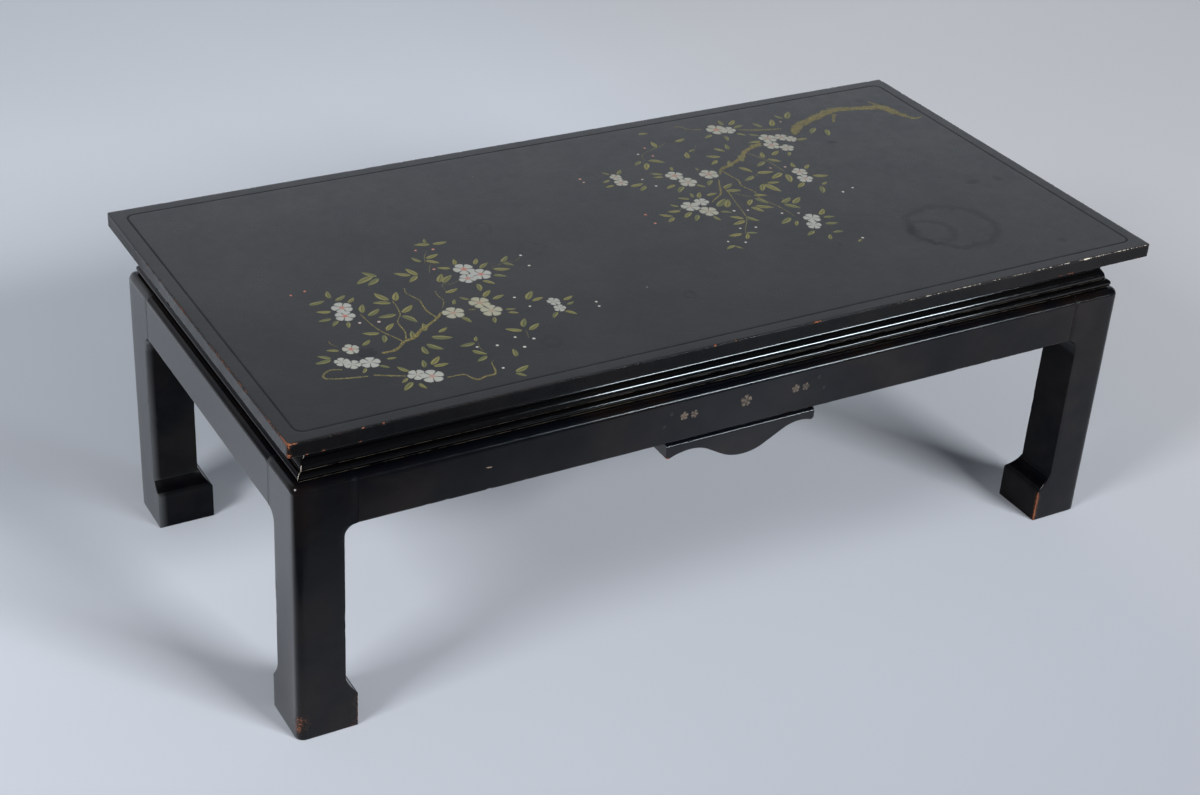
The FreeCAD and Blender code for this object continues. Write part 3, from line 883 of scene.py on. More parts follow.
def smooth_path(points, step):
    """Path through all the points, cut into pieces of about the given length. Between two points it is a
    cubic that leaves each one in the direction of its neighbours."""
    points = np.asarray(points, float)
    padded = np.concatenate([2 * points[:1] - points[1:2], points, 2 * points[-1:] - points[-2:-1]])
    parts = []
    for before, start, end, after in zip(padded[:-3], padded[1:-2], padded[2:-1], padded[3:]):
        count = max(2, int(np.hypot(*(end - start)[:2]) / step))
        t = np.linspace(0, 1, count, endpoint=False)[:, None]
        square_term = (2 * before - 5 * start + 4 * end - after) * t ** 2
        cube_term = (3 * start - before - 3 * end + after) * t ** 3
        parts.append(0.5 * (2 * start + (end - before) * t + square_term + cube_term))
    return np.concatenate(parts + [points[-1:]])


def joined(name, shapes):
    """One mesh from several shapes, each of points, faces and a dictionary of numbers for its points."""
    mesh = bpy.data.meshes.new(name)
    starts = np.cumsum([0] + [len(points) for points, _, _ in shapes])
    points = np.concatenate([points for points, _, _ in shapes])
    faces = [
        [start + corner for corner in face]
        for start, (_, own_faces, _) in zip(starts, shapes) for face in own_faces
    ]
    mesh.from_pydata((points * mm).tolist(), [], faces)
    for key in shapes[0][2]:
        note(mesh, key, np.concatenate([numbers[key] for _, _, numbers in shapes]))
    return mesh


def brushed_branch(path, tint):
    """Branch: a ribbon along a path of x, y and width. Its section is a low arch over a flat foot,
    and its width swells by up to 60 %, as a loaded brush leaves it."""
    line = smooth_path(path, 2.5)
    place = line[:, :2]
    width = line[:, 2] * (1.0 + 0.6 * soft_random(np.c_[place, 0 * place[:, 0]], 7.0, 41))
    ahead = np.gradient(place, axis=0)
    ahead = ahead / np.hypot(*ahead.T)[:, None]
    side = np.stack([-ahead[:, 1], ahead[:, 0]], 1)
    across = np.array([-1, -0.6, 0, 0.6, 1])
    flat = place[:, None, :] + side[:, None, :] * (across[None, :] * width[:, None] / 2)[..., None]
    height = paint_foot + 0.13 * (1 - across ** 2)
    points = np.concatenate([flat, np.broadcast_to(height[None, :, None], flat.shape[:2] + (1,))], -1)
    count, around = points.shape[:2]
    quads = grid_quads(count, around)[:, [0, 3, 2, 1]].tolist()
    ends = [list(range(around)), list(range(count * around))[:-around - 1:-1]]
    numbers = {"rim": np.tile(np.abs(across), count), "tint": np.full(count * around, tint)}
    return points.reshape(-1, 3), quads + ends, numbers


def leaf(base, tip, tint, bend):
    """Leaf: half width 0.19 of its length times sin(pi t^0.8)^0.85, pointed at both ends. It bends by a
    share of its length, and its surface rises to both sides of a sunk midrib."""
    t = np.linspace(0, 1, 8)
    across = np.array([-1, -0.5, 0, 0.5, 1])
    length = np.hypot(*(tip - base))
    ahead = (tip - base) / length
    side = np.array([-ahead[1], ahead[0]])
    half = np.maximum(0.19 * length * np.sin(np.pi * t ** 0.8) ** 0.85, 0.08)
    half[-1] = 0.08
    middle = base + np.outer(t * length, ahead) + np.outer(bend * length * np.sin(np.pi * t), side)
    flat = middle[:, None, :] + side * (across[None, :] * half[:, None])[..., None]
    arch = np.array([0, 0.13, 0.07, 0.13, 0])[None, :] * np.sin(np.pi * t)[:, None] ** 0.5
    points = np.concatenate([flat, paint_foot + arch[..., None]], -1)
    quads = grid_quads(8, 5, closed=False)[:, [0, 3, 2, 1]].tolist()
    rim = [*range(0, 5), *range(9, 40, 5), *range(38, 34, -1), *range(30, 0, -5)]
    numbers = {"rim": np.tile(across, 8), "tint": np.full(40, tint), "along": np.repeat(t, 5)}
    return points.reshape(-1, 3), quads + [rim], numbers


def blossom(place, radius, turn, squeeze, cream, pink, faded):
    """Blossom of five round petals as one low relief. Its radius is R times (0.72 + 0.28 |cos 2.5a|^0.5),
    with a small notch in each petal. It rises in a dome and sinks between the petals."""
    angle = np.radians(np.arange(0, 360, 7.2))
    lobe = np.abs(np.cos(2.5 * angle))
    from_axis = np.abs((np.degrees(angle) + 36) % 72 - 36)
    outline = radius * (0.72 + 0.28 * lobe ** 0.5 - 0.045 * fading(from_axis, 8))
    share = np.array([1.0, 0.86, 0.62, 0.36, 0.12])[:, None]
    dome = 0.02 + 0.12 * (1 - share ** 4) * (0.45 + 0.55 * lobe ** 0.5) + 0 * angle
    dome[0] = 0
    out = outline * share
    local = np.stack([out * np.cos(angle), out * squeeze * np.sin(angle)], -1)
    spin = np.radians(turn)
    x = local[..., 0] * np.cos(spin) - local[..., 1] * np.sin(spin)
    y = local[..., 0] * np.sin(spin) + local[..., 1] * np.cos(spin)
    points = np.stack([place[0] + x, place[1] + y, paint_foot + dome], -1).reshape(-1, 3)
    around = len(angle)
    quads = grid_quads(5, around).tolist()
    caps = [list(range(around))[::-1], list(range(4 * around, 5 * around))]
    shares = {"cream": cream, "pink": pink, "faded": faded}
    numbers = {key: np.full(len(points), amount) for key, amount in shares.items()}
    numbers["across"] = (out * np.cos(angle) / radius).ravel()
    numbers["up"] = (out * np.sin(angle) / radius).ravel()
    return points, quads + caps, numbers


def bud(place, radius, tint):
    """Bud: a low dome of three rings on a flat foot, with its share of the radius noted for the dark rim."""
    angle = np.radians(np.arange(0, 360, 36))
    share = np.array([1.0, 0.75, 0.3])[:, None]
    points = np.stack([
        place[0] + radius * share * np.cos(angle),
        place[1] + radius * share * np.sin(angle),
        paint_foot + 0.16 * (1 - share ** 2) + 0 * angle,
    ], -1).reshape(-1, 3)
    quads = grid_quads(3, 10).tolist()
    caps = [list(range(10))[::-1], list(range(20, 30))]
    numbers = {"rim": np.repeat(share.ravel(), 10), "tint": np.full(30, tint)}
    return points, quads + caps, numbers


# Branches: a row is the tint from olive 0 to grey 1, then the points. A point is its squares across and
# down, and the branch's width in millimetres.
left_branches = (
    (0.0, (437, 608, 3.0), (470, 610, 4.2), (500, 596, 3.6), (525, 573, 3.6), (565, 560, 4.6),
     (600, 530, 5.0), (640, 505, 4.2), (680, 478, 3.2), (705, 452, 2.0)),
    (0.1, (525, 573, 2.2), (508, 532, 1.9), (490, 490, 1.8), (480, 440, 1.5), (474, 368, 1.2)),
    (0.1, (537, 560, 1.8), (553, 518, 1.8), (558, 455, 1.6), (583, 418, 1.4), (595, 370, 1.4),
     (599, 325, 1.0)),
    (0.0, (679, 477, 2.2), (670, 430, 2.0), (673, 385, 1.9), (677, 350, 1.8), (660, 300, 1.5),
     (668, 262, 0.8)),
    (0.3, (722, 428, 0.9), (745, 385, 1.3), (743, 350, 1.1), (748, 318, 0.7)),
    (0.3, (292, 652, 2.0), (262, 640, 2.4), (232, 655, 3.0), (226, 676, 2.8), (248, 690, 2.2),
     (300, 706, 3.0), (345, 716, 2.4)),
    (0.2, (362, 716, 2.4), (400, 736, 2.8), (445, 758, 2.4)),
    (0.1, (552, 814, 1.6), (603, 818, 2.2), (614, 840, 2.2), (628, 860, 3.2), (655, 854, 2.8),
     (690, 850, 2.4), (703, 815, 1.5), (708, 790, 1.2), (718, 781, 1.0)),
    (0.5, (985, 243, 0.7), (1035, 232, 0.8), (1075, 232, 0.7), (1104, 213, 0.6)),
    (0.4, (892, 655, 0.8), (886, 680, 0.7), (878, 702, 0.5)),
    (0.4, (800, 135, 0.8), (818, 92, 0.8), (840, 62, 0.6)),
    (0.5, (785, 200, 0.6), (798, 172, 0.8), (812, 150, 0.6)),
    (0.6, (780, 335, 0.6), (786, 290, 0.8), (815, 296, 0.9), (850, 282, 0.7)),
    (0.2, (332, 522, 0.8), (320, 500, 0.9), (321, 482, 0.6)),
    (0.2, (792, 470, 1.6), (800, 472, 1.8), (812, 474, 1.4)),
    (0.3, (720, 720, 0.5), (716, 700, 0.7), (724, 668, 0.5)),
)
right_branches = (
    (0.15, (1498, 372, 2.0), (1458, 372, 5.0), (1440, 335, 9.0), (1422, 290, 14.0), (1405, 240, 17.0),
     (1350, 222, 14.0), (1290, 206, 12.0), (1225, 190, 13.0), (1185, 195, 15.0), (1130, 214, 13.0),
     (1060, 240, 14.0), (1005, 262, 14.0), (962, 300, 13.0), (940, 330, 4.0)),
    (0.3, (1405, 270, 8.0), (1400, 215, 8.0), (1388, 172, 2.5)),
    (0.1, (1192, 225, 6.0), (1170, 252, 4.5), (1146, 288, 2.5)),
    (0.6, (765, 212, 3.0), (800, 228, 5.5), (850, 246, 5.5), (925, 266, 4.0)),
    (0.7, (553, 104, 3.2), (575, 105, 2.6), (588, 132, 2.2), (606, 148, 2.6), (640, 157, 2.4)),
    (0.05, (778, 348, 5.5), (742, 360, 7.5), (706, 376, 6.0), (676, 392, 6.5), (645, 425, 8.5),
     (612, 446, 6.0), (560, 470, 5.5), (520, 486, 5.0), (490, 522, 2.5)),
    (0.1, (464, 556, 1.8), (448, 585, 2.0), (430, 618, 2.4), (405, 662, 2.6), (372, 684, 2.0),
     (344, 705, 1.4)),
    (0.2, (512, 492, 3.2), (518, 540, 2.4), (524, 592, 2.2), (512, 632, 2.6), (527, 690, 2.2),
     (516, 732, 2.4), (532, 795, 2.0), (545, 850, 1.4), (548, 912, 0.8)),
    (0.3, (447, 612, 1.6), (436, 672, 1.6), (417, 745, 1.4), (396, 830, 1.5), (378, 872, 1.2),
     (330, 936, 0.8)),
    (0.7, (680, 402, 1.8), (698, 440, 2.2), (711, 480, 2.2), (718, 540, 2.0), (722, 588, 1.4)),
    (0.8, (448, 668, 1.2), (470, 696, 1.8), (492, 722, 1.5)),
    (0.6, (456, 207, 0.8), (430, 224, 1.1), (388, 241, 1.3), (340, 258, 1.0), (314, 276, 0.9),
     (299, 316, 0.8)),
    (0.5, (600, 584, 0.7), (622, 570, 1.0), (646, 568, 0.8)),
    (0.6, (545, 268, 0.6), (520, 302, 0.6), (498, 330, 0.6)),
    (0.4, (590, 765, 0.7), (585, 800, 0.8), (575, 826, 0.6)),
    (0.4, (147, 733, 0.7), (155, 752, 0.8), (146, 772, 0.6)),
    (0.5, (240, 700, 0.9), (215, 708, 0.9), (206, 716, 0.7)),
    (0.4, (596, 640, 0.8), (600, 655, 0.9), (604, 668, 0.6)),
    (0.5, (325, 985, 0.6), (318, 960, 0.7), (332, 938, 0.6)),
)

# Leaves: a row is the base and the tip, each in squares across and down
left_leaves = (
    (430, 237, 441, 187), (352, 250, 410, 243), (437, 258, 482, 233), (468, 284, 500, 256),
    (402, 316, 355, 298), (385, 357, 338, 357), (398, 374, 367, 404), (422, 393, 408, 432),
    (484, 362, 508, 308), (490, 385, 543, 354), (482, 497, 430, 475), (505, 492, 546, 456),
    (486, 510, 467, 557), (592, 320, 567, 254), (592, 338, 535, 313), (607, 332, 636, 274),
    (593, 408, 646, 371), (577, 408, 513, 405), (585, 420, 613, 482), (623, 162, 587, 112),
    (612, 150, 540, 184), (622, 170, 568, 204), (745, 202, 726, 143), (725, 196, 677, 157),
    (742, 200, 698, 236), (814, 108, 868, 91), (794, 124, 776, 80), (808, 117, 845, 154),
    (862, 200, 820, 177), (881, 184, 896, 143), (941, 207, 968, 168), (944, 238, 988, 208),
    (782, 272, 818, 220), (793, 283, 845, 240), (770, 342, 823, 329), (893, 325, 877, 377),
    (914, 313, 944, 352), (962, 294, 1001, 320), (980, 254, 1037, 277), (1026, 226, 1066, 190),
    (1028, 230, 1058, 262), (763, 423, 781, 391), (823, 413, 800, 382), (869, 416, 912, 379),
    (888, 438, 937, 424), (748, 500, 763, 548), (842, 540, 826, 580), (895, 512, 930, 521),
    (893, 532, 925, 551), (986, 486, 1030, 436), (996, 497, 1043, 487), (1089, 531, 1132, 515),
    (1085, 561, 1118, 549), (1038, 590, 1006, 622), (1060, 592, 1087, 630), (894, 636, 926, 585),
    (884, 654, 836, 621), (902, 660, 952, 630), (873, 22, 818, 4), (877, 21, 933, 25),
    (862, 8, 872, -24), (609, 577, 674, 608), (579, 610, 617, 663), (560, 671, 564, 617),
    (643, 563, 683, 543), (719, 662, 663, 663), (723, 658, 738, 627), (687, 699, 722, 740),
    (716, 746, 671, 766), (792, 788, 804, 738), (747, 867, 804, 844), (744, 871, 769, 902),
    (467, 740, 444, 697), (515, 737, 531, 692), (540, 731, 585, 692), (541, 741, 594, 742),
    (446, 768, 417, 791), (450, 795, 405, 834), (463, 810, 473, 849), (288, 583, 254, 549),
    (287, 586, 230, 590), (329, 547, 291, 529), (401, 546, 438, 519), (359, 669, 337, 696),
    (398, 671, 424, 698), (434, 645, 468, 649), (556, 563, 574, 518), (611, 540, 625, 490),
)
right_leaves = (
    (393, 108, 437, 114), (396, 237, 405, 181), (486, 219, 538, 205), (286, 317, 244, 342),
    (298, 338, 263, 392), (310, 320, 362, 364), (457, 364, 481, 310), (488, 317, 523, 302),
    (577, 393, 524, 366), (547, 411, 505, 440), (587, 321, 616, 363), (636, 352, 653, 303),
    (125, 376, 104, 347), (149, 386, 181, 351), (102, 411, 67, 425), (96, 455, 56, 461),
    (141, 487, 201, 481), (197, 499, 157, 533), (300, 447, 260, 419), (293, 464, 253, 455),
    (349, 431, 362, 399), (436, 465, 440, 437), (298, 534, 251, 553), (318, 556, 274, 597),
    (367, 561, 389, 594), (440, 549, 401, 588), (584, 496, 611, 551), (704, 486, 651, 517),
    (721, 472, 763, 513), (716, 463, 737, 414), (756, 456, 804, 426), (790, 330, 736, 325),
    (774, 369, 724, 346), (619, 562, 686, 576), (598, 576, 544, 601), (708, 591, 641, 624),
    (716, 608, 689, 677), (776, 578, 790, 532), (804, 601, 841, 571), (794, 656, 854, 678),
    (736, 691, 688, 722), (774, 740, 747, 796), (784, 736, 816, 719), (286, 655, 246, 629),
    (301, 651, 312, 612), (317, 662, 347, 619), (218, 693, 196, 664), (208, 721, 157, 711),
    (236, 744, 189, 778), (246, 769, 212, 811), (289, 800, 297, 841), (327, 781, 364, 804),
    (351, 656, 401, 650), (437, 629, 493, 601), (434, 645, 494, 663), (339, 747, 403, 697),
    (366, 763, 408, 706), (506, 714, 554, 735), (499, 734, 523, 792), (592, 647, 554, 699),
    (597, 648, 618, 729), (607, 647, 658, 657), (485, 739, 447, 780), (447, 788, 470, 842),
    (464, 786, 523, 826), (564, 804, 621, 777), (566, 813, 607, 867), (599, 827, 654, 787),
    (377, 861, 336, 824), (373, 869, 313, 884), (390, 847, 417, 895), (159, 749, 119, 717),
    (158, 754, 119, 783), (531, 911, 471, 944), (537, 942, 512, 976), (634, 937, 677, 896),
    (635, 955, 680, 965), (309, 953, 252, 950), (320, 955, 362, 970), (735, 157, 742, 107),
    (756, 164, 803, 126), (757, 196, 809, 182), (651, 211, 606, 231), (689, 240, 673, 284),
    (740, 237, 766, 269), (865, 228, 848, 178), (902, 234, 938, 174), (985, 188, 966, 146),
    (994, 196, 1043, 136), (1051, 304, 1002, 346), (1081, 331, 1054, 387), (919, 376, 968, 378),
    (835, 451, 811, 482), (567, 484, 585, 431), (626, 462, 640, 404), (779, 262, 812, 290),
    (240, 1018, 196, 1032), (236, 1022, 250, 1050), (300, 995, 326, 958), (612, 998, 664, 1012),
    (550, 1028, 504, 1052), (562, 1108, 584, 1072), (598, 1066, 642, 1072), (640, 1160, 664, 1146),
)

# Blossoms: a row is squares across and down, radius in squares, turn in degrees, height over width, and
# the shares of cream, pink and faded paint.
left_blossoms = (
    (440, 305, 39, 95, 0.95, 0.0, 0.8, 0.0), (427, 358, 36, 60, 1.0, 0.0, 0.9, 0.0),
    (896, 221, 43, 100, 0.9, 0.1, 0.9, 0.0), (879, 283, 34, 40, 0.95, 0.0, 0.8, 0.0),
    (931, 273, 40, 75, 0.97, 0.0, 0.8, 0.0), (739, 469, 40, 85, 1.0, 0.7, 0.35, 0.0),
    (842, 441, 41, 95, 0.92, 0.9, 0.35, 0.0), (853, 502, 41, 70, 0.95, 0.8, 0.2, 0.0),
    (1058, 526, 28, 90, 0.85, 0.1, 0.0, 0.15), (1055, 571, 26, 60, 0.85, 0.1, 0.0, 0.15),
    (363, 551, 34, 90, 0.85, 0.3, 0.9, 0.0), (398, 590, 35, 50, 0.95, 0.1, 0.0, 0.75),
    (309, 610, 28, 80, 0.95, 0.1, 0.0, 0.1), (331, 636, 29, 45, 1.0, 0.1, 0.0, 0.05),
    (383, 645, 36, 70, 0.98, 0.0, 0.0, 0.05), (478, 765, 33, 110, 1.0, 0.1, 0.1, 0.0),
    (515, 790, 41, 78, 0.98, 0.1, 0.5, 0.0),
)
right_blossoms = (
    (690, 180, 48, 95, 0.9, 0.5, 0.7, 0.0), (729, 201, 34, 50, 0.95, 0.3, 0.1, 0.0),
    (826, 320, 41, 88, 0.92, 0.4, 0.5, 0.0), (880, 331, 33, 100, 0.88, 0.4, 0.4, 0.0),
    (905, 357, 28, 60, 0.9, 0.4, 0.2, 0.0), (806, 377, 39, 80, 0.85, 0.4, 0.5, 0.0),
    (846, 418, 32, 70, 0.95, 0.4, 0.3, 0.0), (454, 506, 41, 92, 0.97, 0.4, 0.5, 0.0),
    (333, 470, 39, 85, 0.95, 0.3, 0.6, 0.1), (350, 534, 41, 60, 0.9, 0.3, 0.3, 0.0),
    (133, 402, 28, 90, 0.85, 0.4, 0.4, 0.0), (129, 448, 30, 70, 0.95, 0.4, 0.4, 0.0),
    (771, 612, 34, 90, 0.92, 0.3, 0.5, 0.0), (757, 668, 35, 65, 0.92, 0.1, 0.4, 0.0),
    (255, 706, 40, 90, 0.95, 0.2, 0.2, 0.0), (309, 690, 32, 50, 0.95, 0.1, 0.1, 0.05),
    (294, 763, 41, 95, 0.88, 0.6, 0.2, 0.0), (597, 945, 36, 85, 0.95, 0.0, 0.0, 0.1),
    (572, 993, 33, 60, 0.9, 0.0, 0.0, 0.1),
)

# Buds: a row is squares across and down, and the tint from white 0 to coral 1
left_buds = (
    (327, 170, 1.0), (376, 162, 1.0), (810, 42, 0.9), (865, 57, 0.9), (808, 184, 0.9), (1108, 205, 0.0),
    (1100, 280, 0.0), (451, 414, 0.3), (507, 430, 0.3), (957, 454, 0.0), (975, 524, 0.1), (1180, 580, 0.0),
    (1174, 609, 0.0), (711, 688, 0.0), (771, 703, 0.0), (843, 680, 0.05), (891, 710, 0.05), (842, 744, 0.0),
    (726, 830, 0.0),
)
right_buds = (
    (8, 367, 0.7), (8, 395, 0.4), (305, 262, 0.2), (355, 224, 0.9), (348, 294, 0.8), (211, 453, 0.2),
    (229, 518, 0.1), (78, 702, 1.0), (75, 772, 0.9), (690, 545, 0.7), (745, 557, 0.5), (377, 793, 0.0),
    (424, 808, 0.1), (323, 917, 0.0), (377, 930, 0.0), (521, 873, 0.1), (575, 895, 0.2), (820, 812, 0.0),
    (872, 797, 0.0), (231, 985, 0.0), (283, 1013, 0.0), (671, 1139, 0.0), (958, 208, 0.6),
)


def oil_paint(name, roughness):
    """Empty oil paint material with its tree, the two patterns that its colours read (12 mm clouds and
    1.5 mm crumbs), and the socket that takes its colour."""
    material, tree, place = new_material(name)
    cloud = noise(tree, place, 80.0, 3.0)
    crumb = noise(tree, place, 700.0, 4.0, 0.7)
    grain = bumped(tree, crumb, 0.25, 0.0002)
    shader = coated(tree, {"Roughness": roughness, "IOR": film_ior, "Normal": grain})
    return material, tree, (cloud, crumb), shader.inputs["Base Color"]


def stem_paint():
    """Olive ochre oil paint, broken by dark gaps where the brush ran dry, darker along its edges."""
    material, tree, (cloud, crumb), coat = oil_paint("ochre_oil_paint_stems", 0.45)
    grey = mixed(tree, noted(tree, "tint"), mixed(tree, cloud, "#726838", "#a8964f"), "#646650")
    dry = mixed(tree, ranged(tree, crumb, 0.42, 0.62), "#3a371f", grey)
    edge = ranged(tree, noted(tree, "rim"), 0.55, 1.0, end=0.75)
    tree.links.new(mixed(tree, edge, dry, "#2e2c1c"), coat)
    return material


def leaf_paint():
    """Olive oil paint: one half of each leaf is lighter, the midrib is drawn dark, and the edge is thin."""
    material, tree, (_, crumb), coat = oil_paint("olive_oil_paint_leaves", 0.42)
    across = noted(tree, "rim")
    off_rib = maths(tree, "ABSOLUTE", across)
    colour = mixed(tree, noted(tree, "tint"), "#555a33", "#7d763c")
    colour = mixed(tree, ranged(tree, across, -0.5, 0.5, end=0.55), colour, "#8c8650")
    colour = mixed(tree, ranged(tree, crumb, 0.35, 0.7, end=0.4), colour, "#4b4d2c")
    colour = mixed(tree, ranged(tree, off_rib, 0.26, 0.06, end=0.8), colour, "#35371f")
    tree.links.new(mixed(tree, ranged(tree, off_rib, 0.72, 1.0, end=0.7), colour, "#33351f"), coat)
    return material


def petal_paint(name, white, cream, seam, heart, seam_width=0.34):
    """White oil paint: fine grey rays run out from the heart, dark lines part the petals and edge them,
    and the heart is touched with coral. Faded places show the black through crumbs."""
    material, tree, (cloud, crumb), coat = oil_paint(name, 0.5)
    across, up = noted(tree, "across"), noted(tree, "up")
    angle = maths(tree, "ARCTAN2", up, across)
    out = maths(tree, "ADD", maths(tree, "MULTIPLY", across, across), maths(tree, "MULTIPLY", up, up))
    out = maths(tree, "POWER", out, 0.5)
    polar = add(tree, "ShaderNodeCombineXYZ", {0: angle, 1: out, 2: cloud}).outputs[0]
    stretched = add(tree, "ShaderNodeMapping", {"Vector": polar, "Scale": (9.0, 1.2, 3.0)}).outputs[0]
    ray = ranged(tree, noise(tree, stretched, 1.6, 2.0), 0.45, 0.68, end=0.5)
    colour = mixed(tree, ray, mixed(tree, noted(tree, "cream"), white, cream), "#8b8d88")
    lobe = maths(tree, "ABSOLUTE", maths(tree, "COSINE", maths(tree, "MULTIPLY", angle, 2.5)))
    colour = mixed(tree, ranged(tree, lobe, seam_width, seam_width - 0.24, end=0.9), colour, seam)
    reach = scaled(tree, maths(tree, "POWER", lobe, 0.5), 0.28, 0.70)
    colour = mixed(tree, ranged(tree, maths(tree, "DIVIDE", out, reach), 0.84, 0.96, end=0.85), colour, seam)
    coral = maths(tree, "MULTIPLY", ranged(tree, out, 0.34, 0.1), noted(tree, "pink"))
    gone = ranged(tree, maths(tree, "ADD", crumb, noted(tree, "faded")), 0.72, 0.86)
    tree.links.new(mixed(tree, gone, mixed(tree, coral, colour, heart), "#17171a"), coat)
    return material


def bud_paint():
    """White or coral oil paint with a dark rim."""
    material, tree, _, coat = oil_paint("white_and_coral_oil_paint_buds", 0.5)
    rim = ranged(tree, noted(tree, "rim"), 0.72, 0.95, end=0.85)
    tree.links.new(mixed(tree, rim, mixed(tree, noted(tree, "tint"), "#b6b5af", "#b06a5c"), "#2a2625"), coat)
    return material


painted_stems, painted_leaves, painted_buds = stem_paint(), leaf_paint(), bud_paint()
painted_petals = petal_paint("white_oil_paint_petals", "#a4a5a0", "#9d9a82", "#32332f", "#a8604f")
brush = np.random.default_rng(12)
for side, sheet, branches, leaves, blossoms, buds in (
    ("left", left_sheet, left_branches, left_leaves, left_blossoms, left_buds),
    ("right", right_sheet, right_branches, right_leaves, right_blossoms, right_buds),
):
    strokes = []
    for tint, *path in branches:
        path = np.array(path, float)
        strokes.append(brushed_branch(np.c_[on_sheet(sheet, path[:, :2]), path[:, 2]], tint))
    ends = on_sheet(sheet, np.reshape(leaves, (-1, 2, 2)))
    for kind, material, shapes in (
        ("branches", painted_stems, strokes),
        ("leaves", painted_leaves, [
            leaf(base, tip, brush.uniform(0, 1), brush.uniform(-0.07, 0.07)) for base, tip in ends
        ]),
        ("blossoms", painted_petals, [
            blossom(on_sheet(sheet, row[:2]), row[2] * square, *row[3:]) for row in blossoms
        ]),
        ("buds", painted_buds, [
            bud(on_sheet(sheet, row[:2]), brush.uniform(2.0, 2.5), row[2]) for row in buds
        ]),
    ):
        name = "spray_" + side + "_" + kind
        finished(name, joined(name, shapes), material)


# Apron blossoms: nine small worn blossoms in the same paint, in a row across the front apron, and a
# pale scrape to their left. A row is x, z and radius in millimetres, then as for the blossoms of the
# sprays.
apron_blossoms = (
    (-110, 334, 3.2, 90, 0.9, 0.9, 0.0, 0.45), (-119, 318, 3.2, 60, 0.9, 0.9, 0.0, 0.5),
    (-91.6, 327, 6.6, 90, 0.95, 0.6, 0.2, 0.32), (-77, 326.3, 6.2, 70, 0.95, 0.6, 0.2, 0.34),
    (-2.3, 327, 9.4, 90, 0.95, 0.5, 0.2, 0.34), (71.2, 326.3, 6.6, 90, 0.95, 0.6, 0.2, 0.33),
    (86.2, 325.8, 6.2, 75, 0.95, 0.6, 0.2, 0.36), (105.4, 334.7, 3.0, 90, 0.9, 0.9, 0.0, 0.5),
    (115, 317.6, 3.0, 60, 0.9, 0.9, 0.0, 0.5), (-355, 323, 4.6, 172, 0.2, 1.0, 0.0, 0.1),
)
tan_petals = petal_paint("tan_oil_paint_petals", "#a8937e", "#8f7861", "#17130f", "#4a3227", seam_width=0.66)
shapes = []
for row in apron_blossoms:
    points, faces, numbers = blossom((row[0], row[1]), *row[2:])
    raised = points[:, 2] - paint_foot
    points = np.stack([points[:, 0], -half_depth + skin_inset + paint_sink - raised, points[:, 1]], 1)
    shapes.append((points, faces, numbers))
finished("apron_blossoms", joined("apron_blossoms", shapes), tan_petals)


# Floor and light: a sheet of pale grey paper that ends just in front and to the left of the table, a
# strip lamp low at the front right, a soft lamp above it, a broad lamp at the left, and a dim room.
def pale_floor():
    """Pale cool studio paper, slightly mottled, with painted light: its colour is painted lighter toward the
    back, and painted darker along the front edge as the shade of paper that curls down there. It is warmer at
    the right."""
    material, tree, place = new_material("pale_studio_paper")
    # Painted light: the tone slopes lighter toward the back, over the random mottle
    tone = scaled(tree, noise(tree, place, 1.1, 3.0), 0.15, along(tree, place, (-0.12, 0.6, 0.0)))
    colour = mixed(tree, ranged(tree, tone, -0.45, 0.8), "#aeb2bb", "#e2e8f2")
    warm = ranged(tree, along(tree, place, (1.0, 0.0, 0.0)), 0.5, 1.1, end=0.3)
    # Painted shade: darker toward the front edge, where the paper would curl down out of the light
    painted_curl_shade = ranged(tree, along(tree, place, (0.48, 1.0, 0.0)), -0.66, -0.86)
    colour = mixed(tree, painted_curl_shade, mixed(tree, warm, colour, "#d6cfca"), "#94979c")
    coated(tree, {"Base Color": colour, "Roughness": 0.9, "Specular IOR Level": 0.1})
    return material


floor_mesh = bpy.data.meshes.new("floor")
floor_mesh.from_pydata([(-1.3, -0.236, 0), (14, -7.58, 0), (14, 14, 0), (4.4, 14, 0)], [], [(0, 1, 2, 3)])
floor_mesh.materials.append(pale_floor())
placed("floor", floor_mesh)


def lamp(name, place, aim, width, height, power, colour=(1.0, 1.0, 1.0), mirrored=True):
    """Rectangular studio lamp that faces a point. The camera doesn't see it, and a lamp behind a fine
    diffuser isn't mirrored either."""
    data = bpy.data.lights.new(name, "AREA")
    data.shape = "RECTANGLE"
    data.size, data.size_y = width, height
    data.energy, data.color = power, colour
    lamp_object = placed(name, data)
    place = np.array(place)
    back = place - np.array(aim)
    back = back / np.linalg.norm(back)
    right = np.cross((0, 0, 1), back)
    right = right / np.linalg.norm(right)
    lamp_object.matrix_world = placed_matrix(right, np.cross(back, right), back, place)
    lamp_object.visible_camera = False
    lamp_object.visible_glossy = mirrored


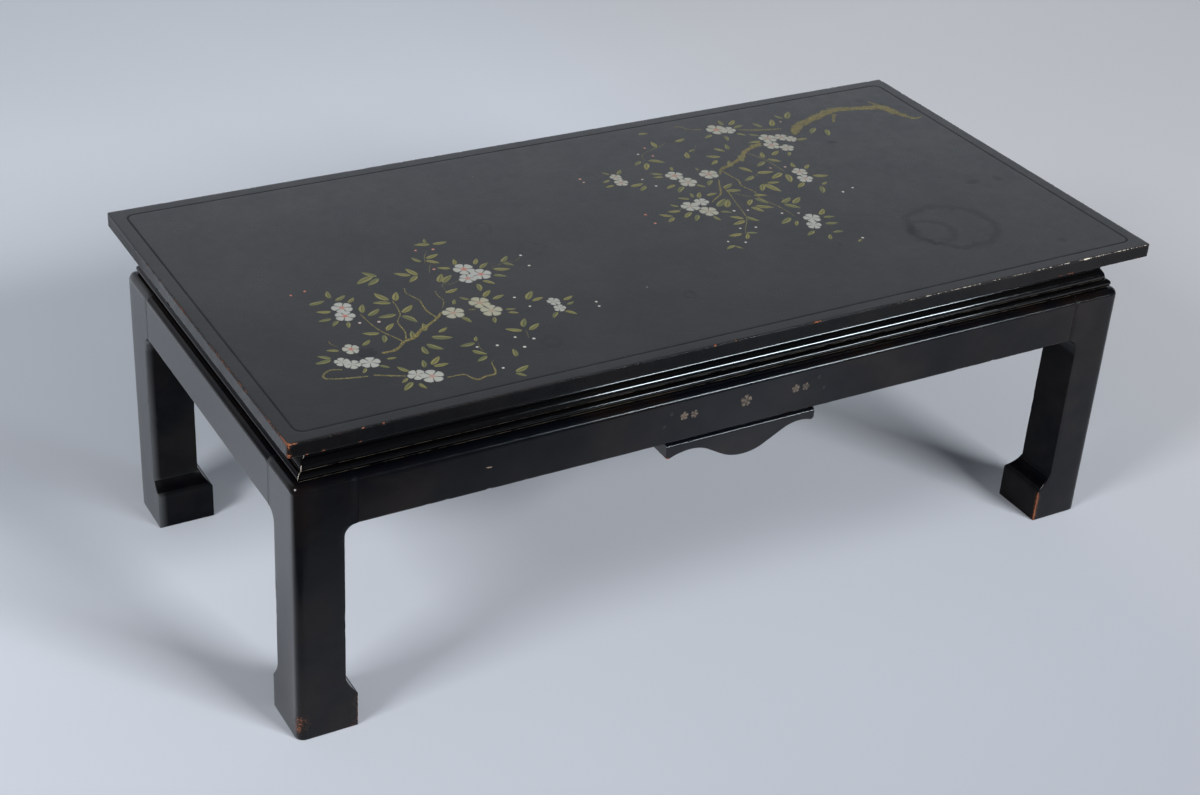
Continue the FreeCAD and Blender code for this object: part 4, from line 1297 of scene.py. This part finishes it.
lamp("strip_lamp_right", (3.21, -5.3, 1.14), (0.1, -0.28, 0.36), 1.54, 0.4, 116.0, colour=(0.8, 0.92, 1.0))
lamp("soft_lamp_front", (2.3, -6.1, 3.8), (0.0, 0.0, 0.2), 2.7, 1.9, 560.0, mirrored=False)
lamp("broad_lamp_left", (-3.77, -1.25, 3.03), (0.0, 0.0, 0.2), 1.25, 1.25, 118.0)

# Room: the camera sees a pale wall, the table gets a dim fill, and the lacquer reflects a wall that is
# bright behind the table, darker above and to the right, and dark on the other sides.
world = bpy.data.worlds.new("pale_room")
bpy.context.scene.world = world
world.use_nodes = True
tree = world.node_tree
tree.nodes.clear()
ray = add(tree, "ShaderNodeLightPath").outputs
toward = add(tree, "ShaderNodeTexCoord").outputs["Generated"]
way = add(tree, "ShaderNodeSeparateXYZ", {0: toward}).outputs
away_from_camera = (0.519, 0.855, 0.0)
wall = ranged(tree, way["Z"], 0.28, 0.8, 0.92, 0.1)
wall = maths(tree, "MULTIPLY", wall, ranged(tree, way["X"], 0.3, 0.65, 1.08, 0.84))
behind = ranged(tree, along(tree, toward, away_from_camera), 0.3, 0.7, interpolation_type="SMOOTHSTEP")
dim = ranged(tree, way["Z"], 0.02, -0.05, 0.05, 0.12)
level = add(tree, "ShaderNodeMix", {0: behind, 2: dim, 3: wall}).outputs[0]
cool = {"Fac": 1.0, "Color1": level, "Color2": (0.92, 0.98, 1.08, 1)}
tinted = add(tree, "ShaderNodeMixRGB", cool, blend_type="MULTIPLY").outputs[0]
seen, reflected, fill = (
    add(tree, "ShaderNodeBackground", {"Color": colour, "Strength": strength}).outputs[0]
    for colour, strength in ((linear("#c8ced8"), 1.0), (tinted, 1.0), ((0.9, 0.95, 1.0, 1), 0.2))
)
soft = add(tree, "ShaderNodeMixShader", {0: ray["Is Glossy Ray"], 1: fill, 2: reflected}).outputs[0]
clear = maths(tree, "MAXIMUM", ray["Is Camera Ray"], ray["Is Transmission Ray"])
whole = add(tree, "ShaderNodeMixShader", {0: clear, 1: soft, 2: seen}).outputs[0]
add(tree, "ShaderNodeOutputWorld", {"Surface": whole})
bpy.context.scene.view_settings.view_transform = "Standard"
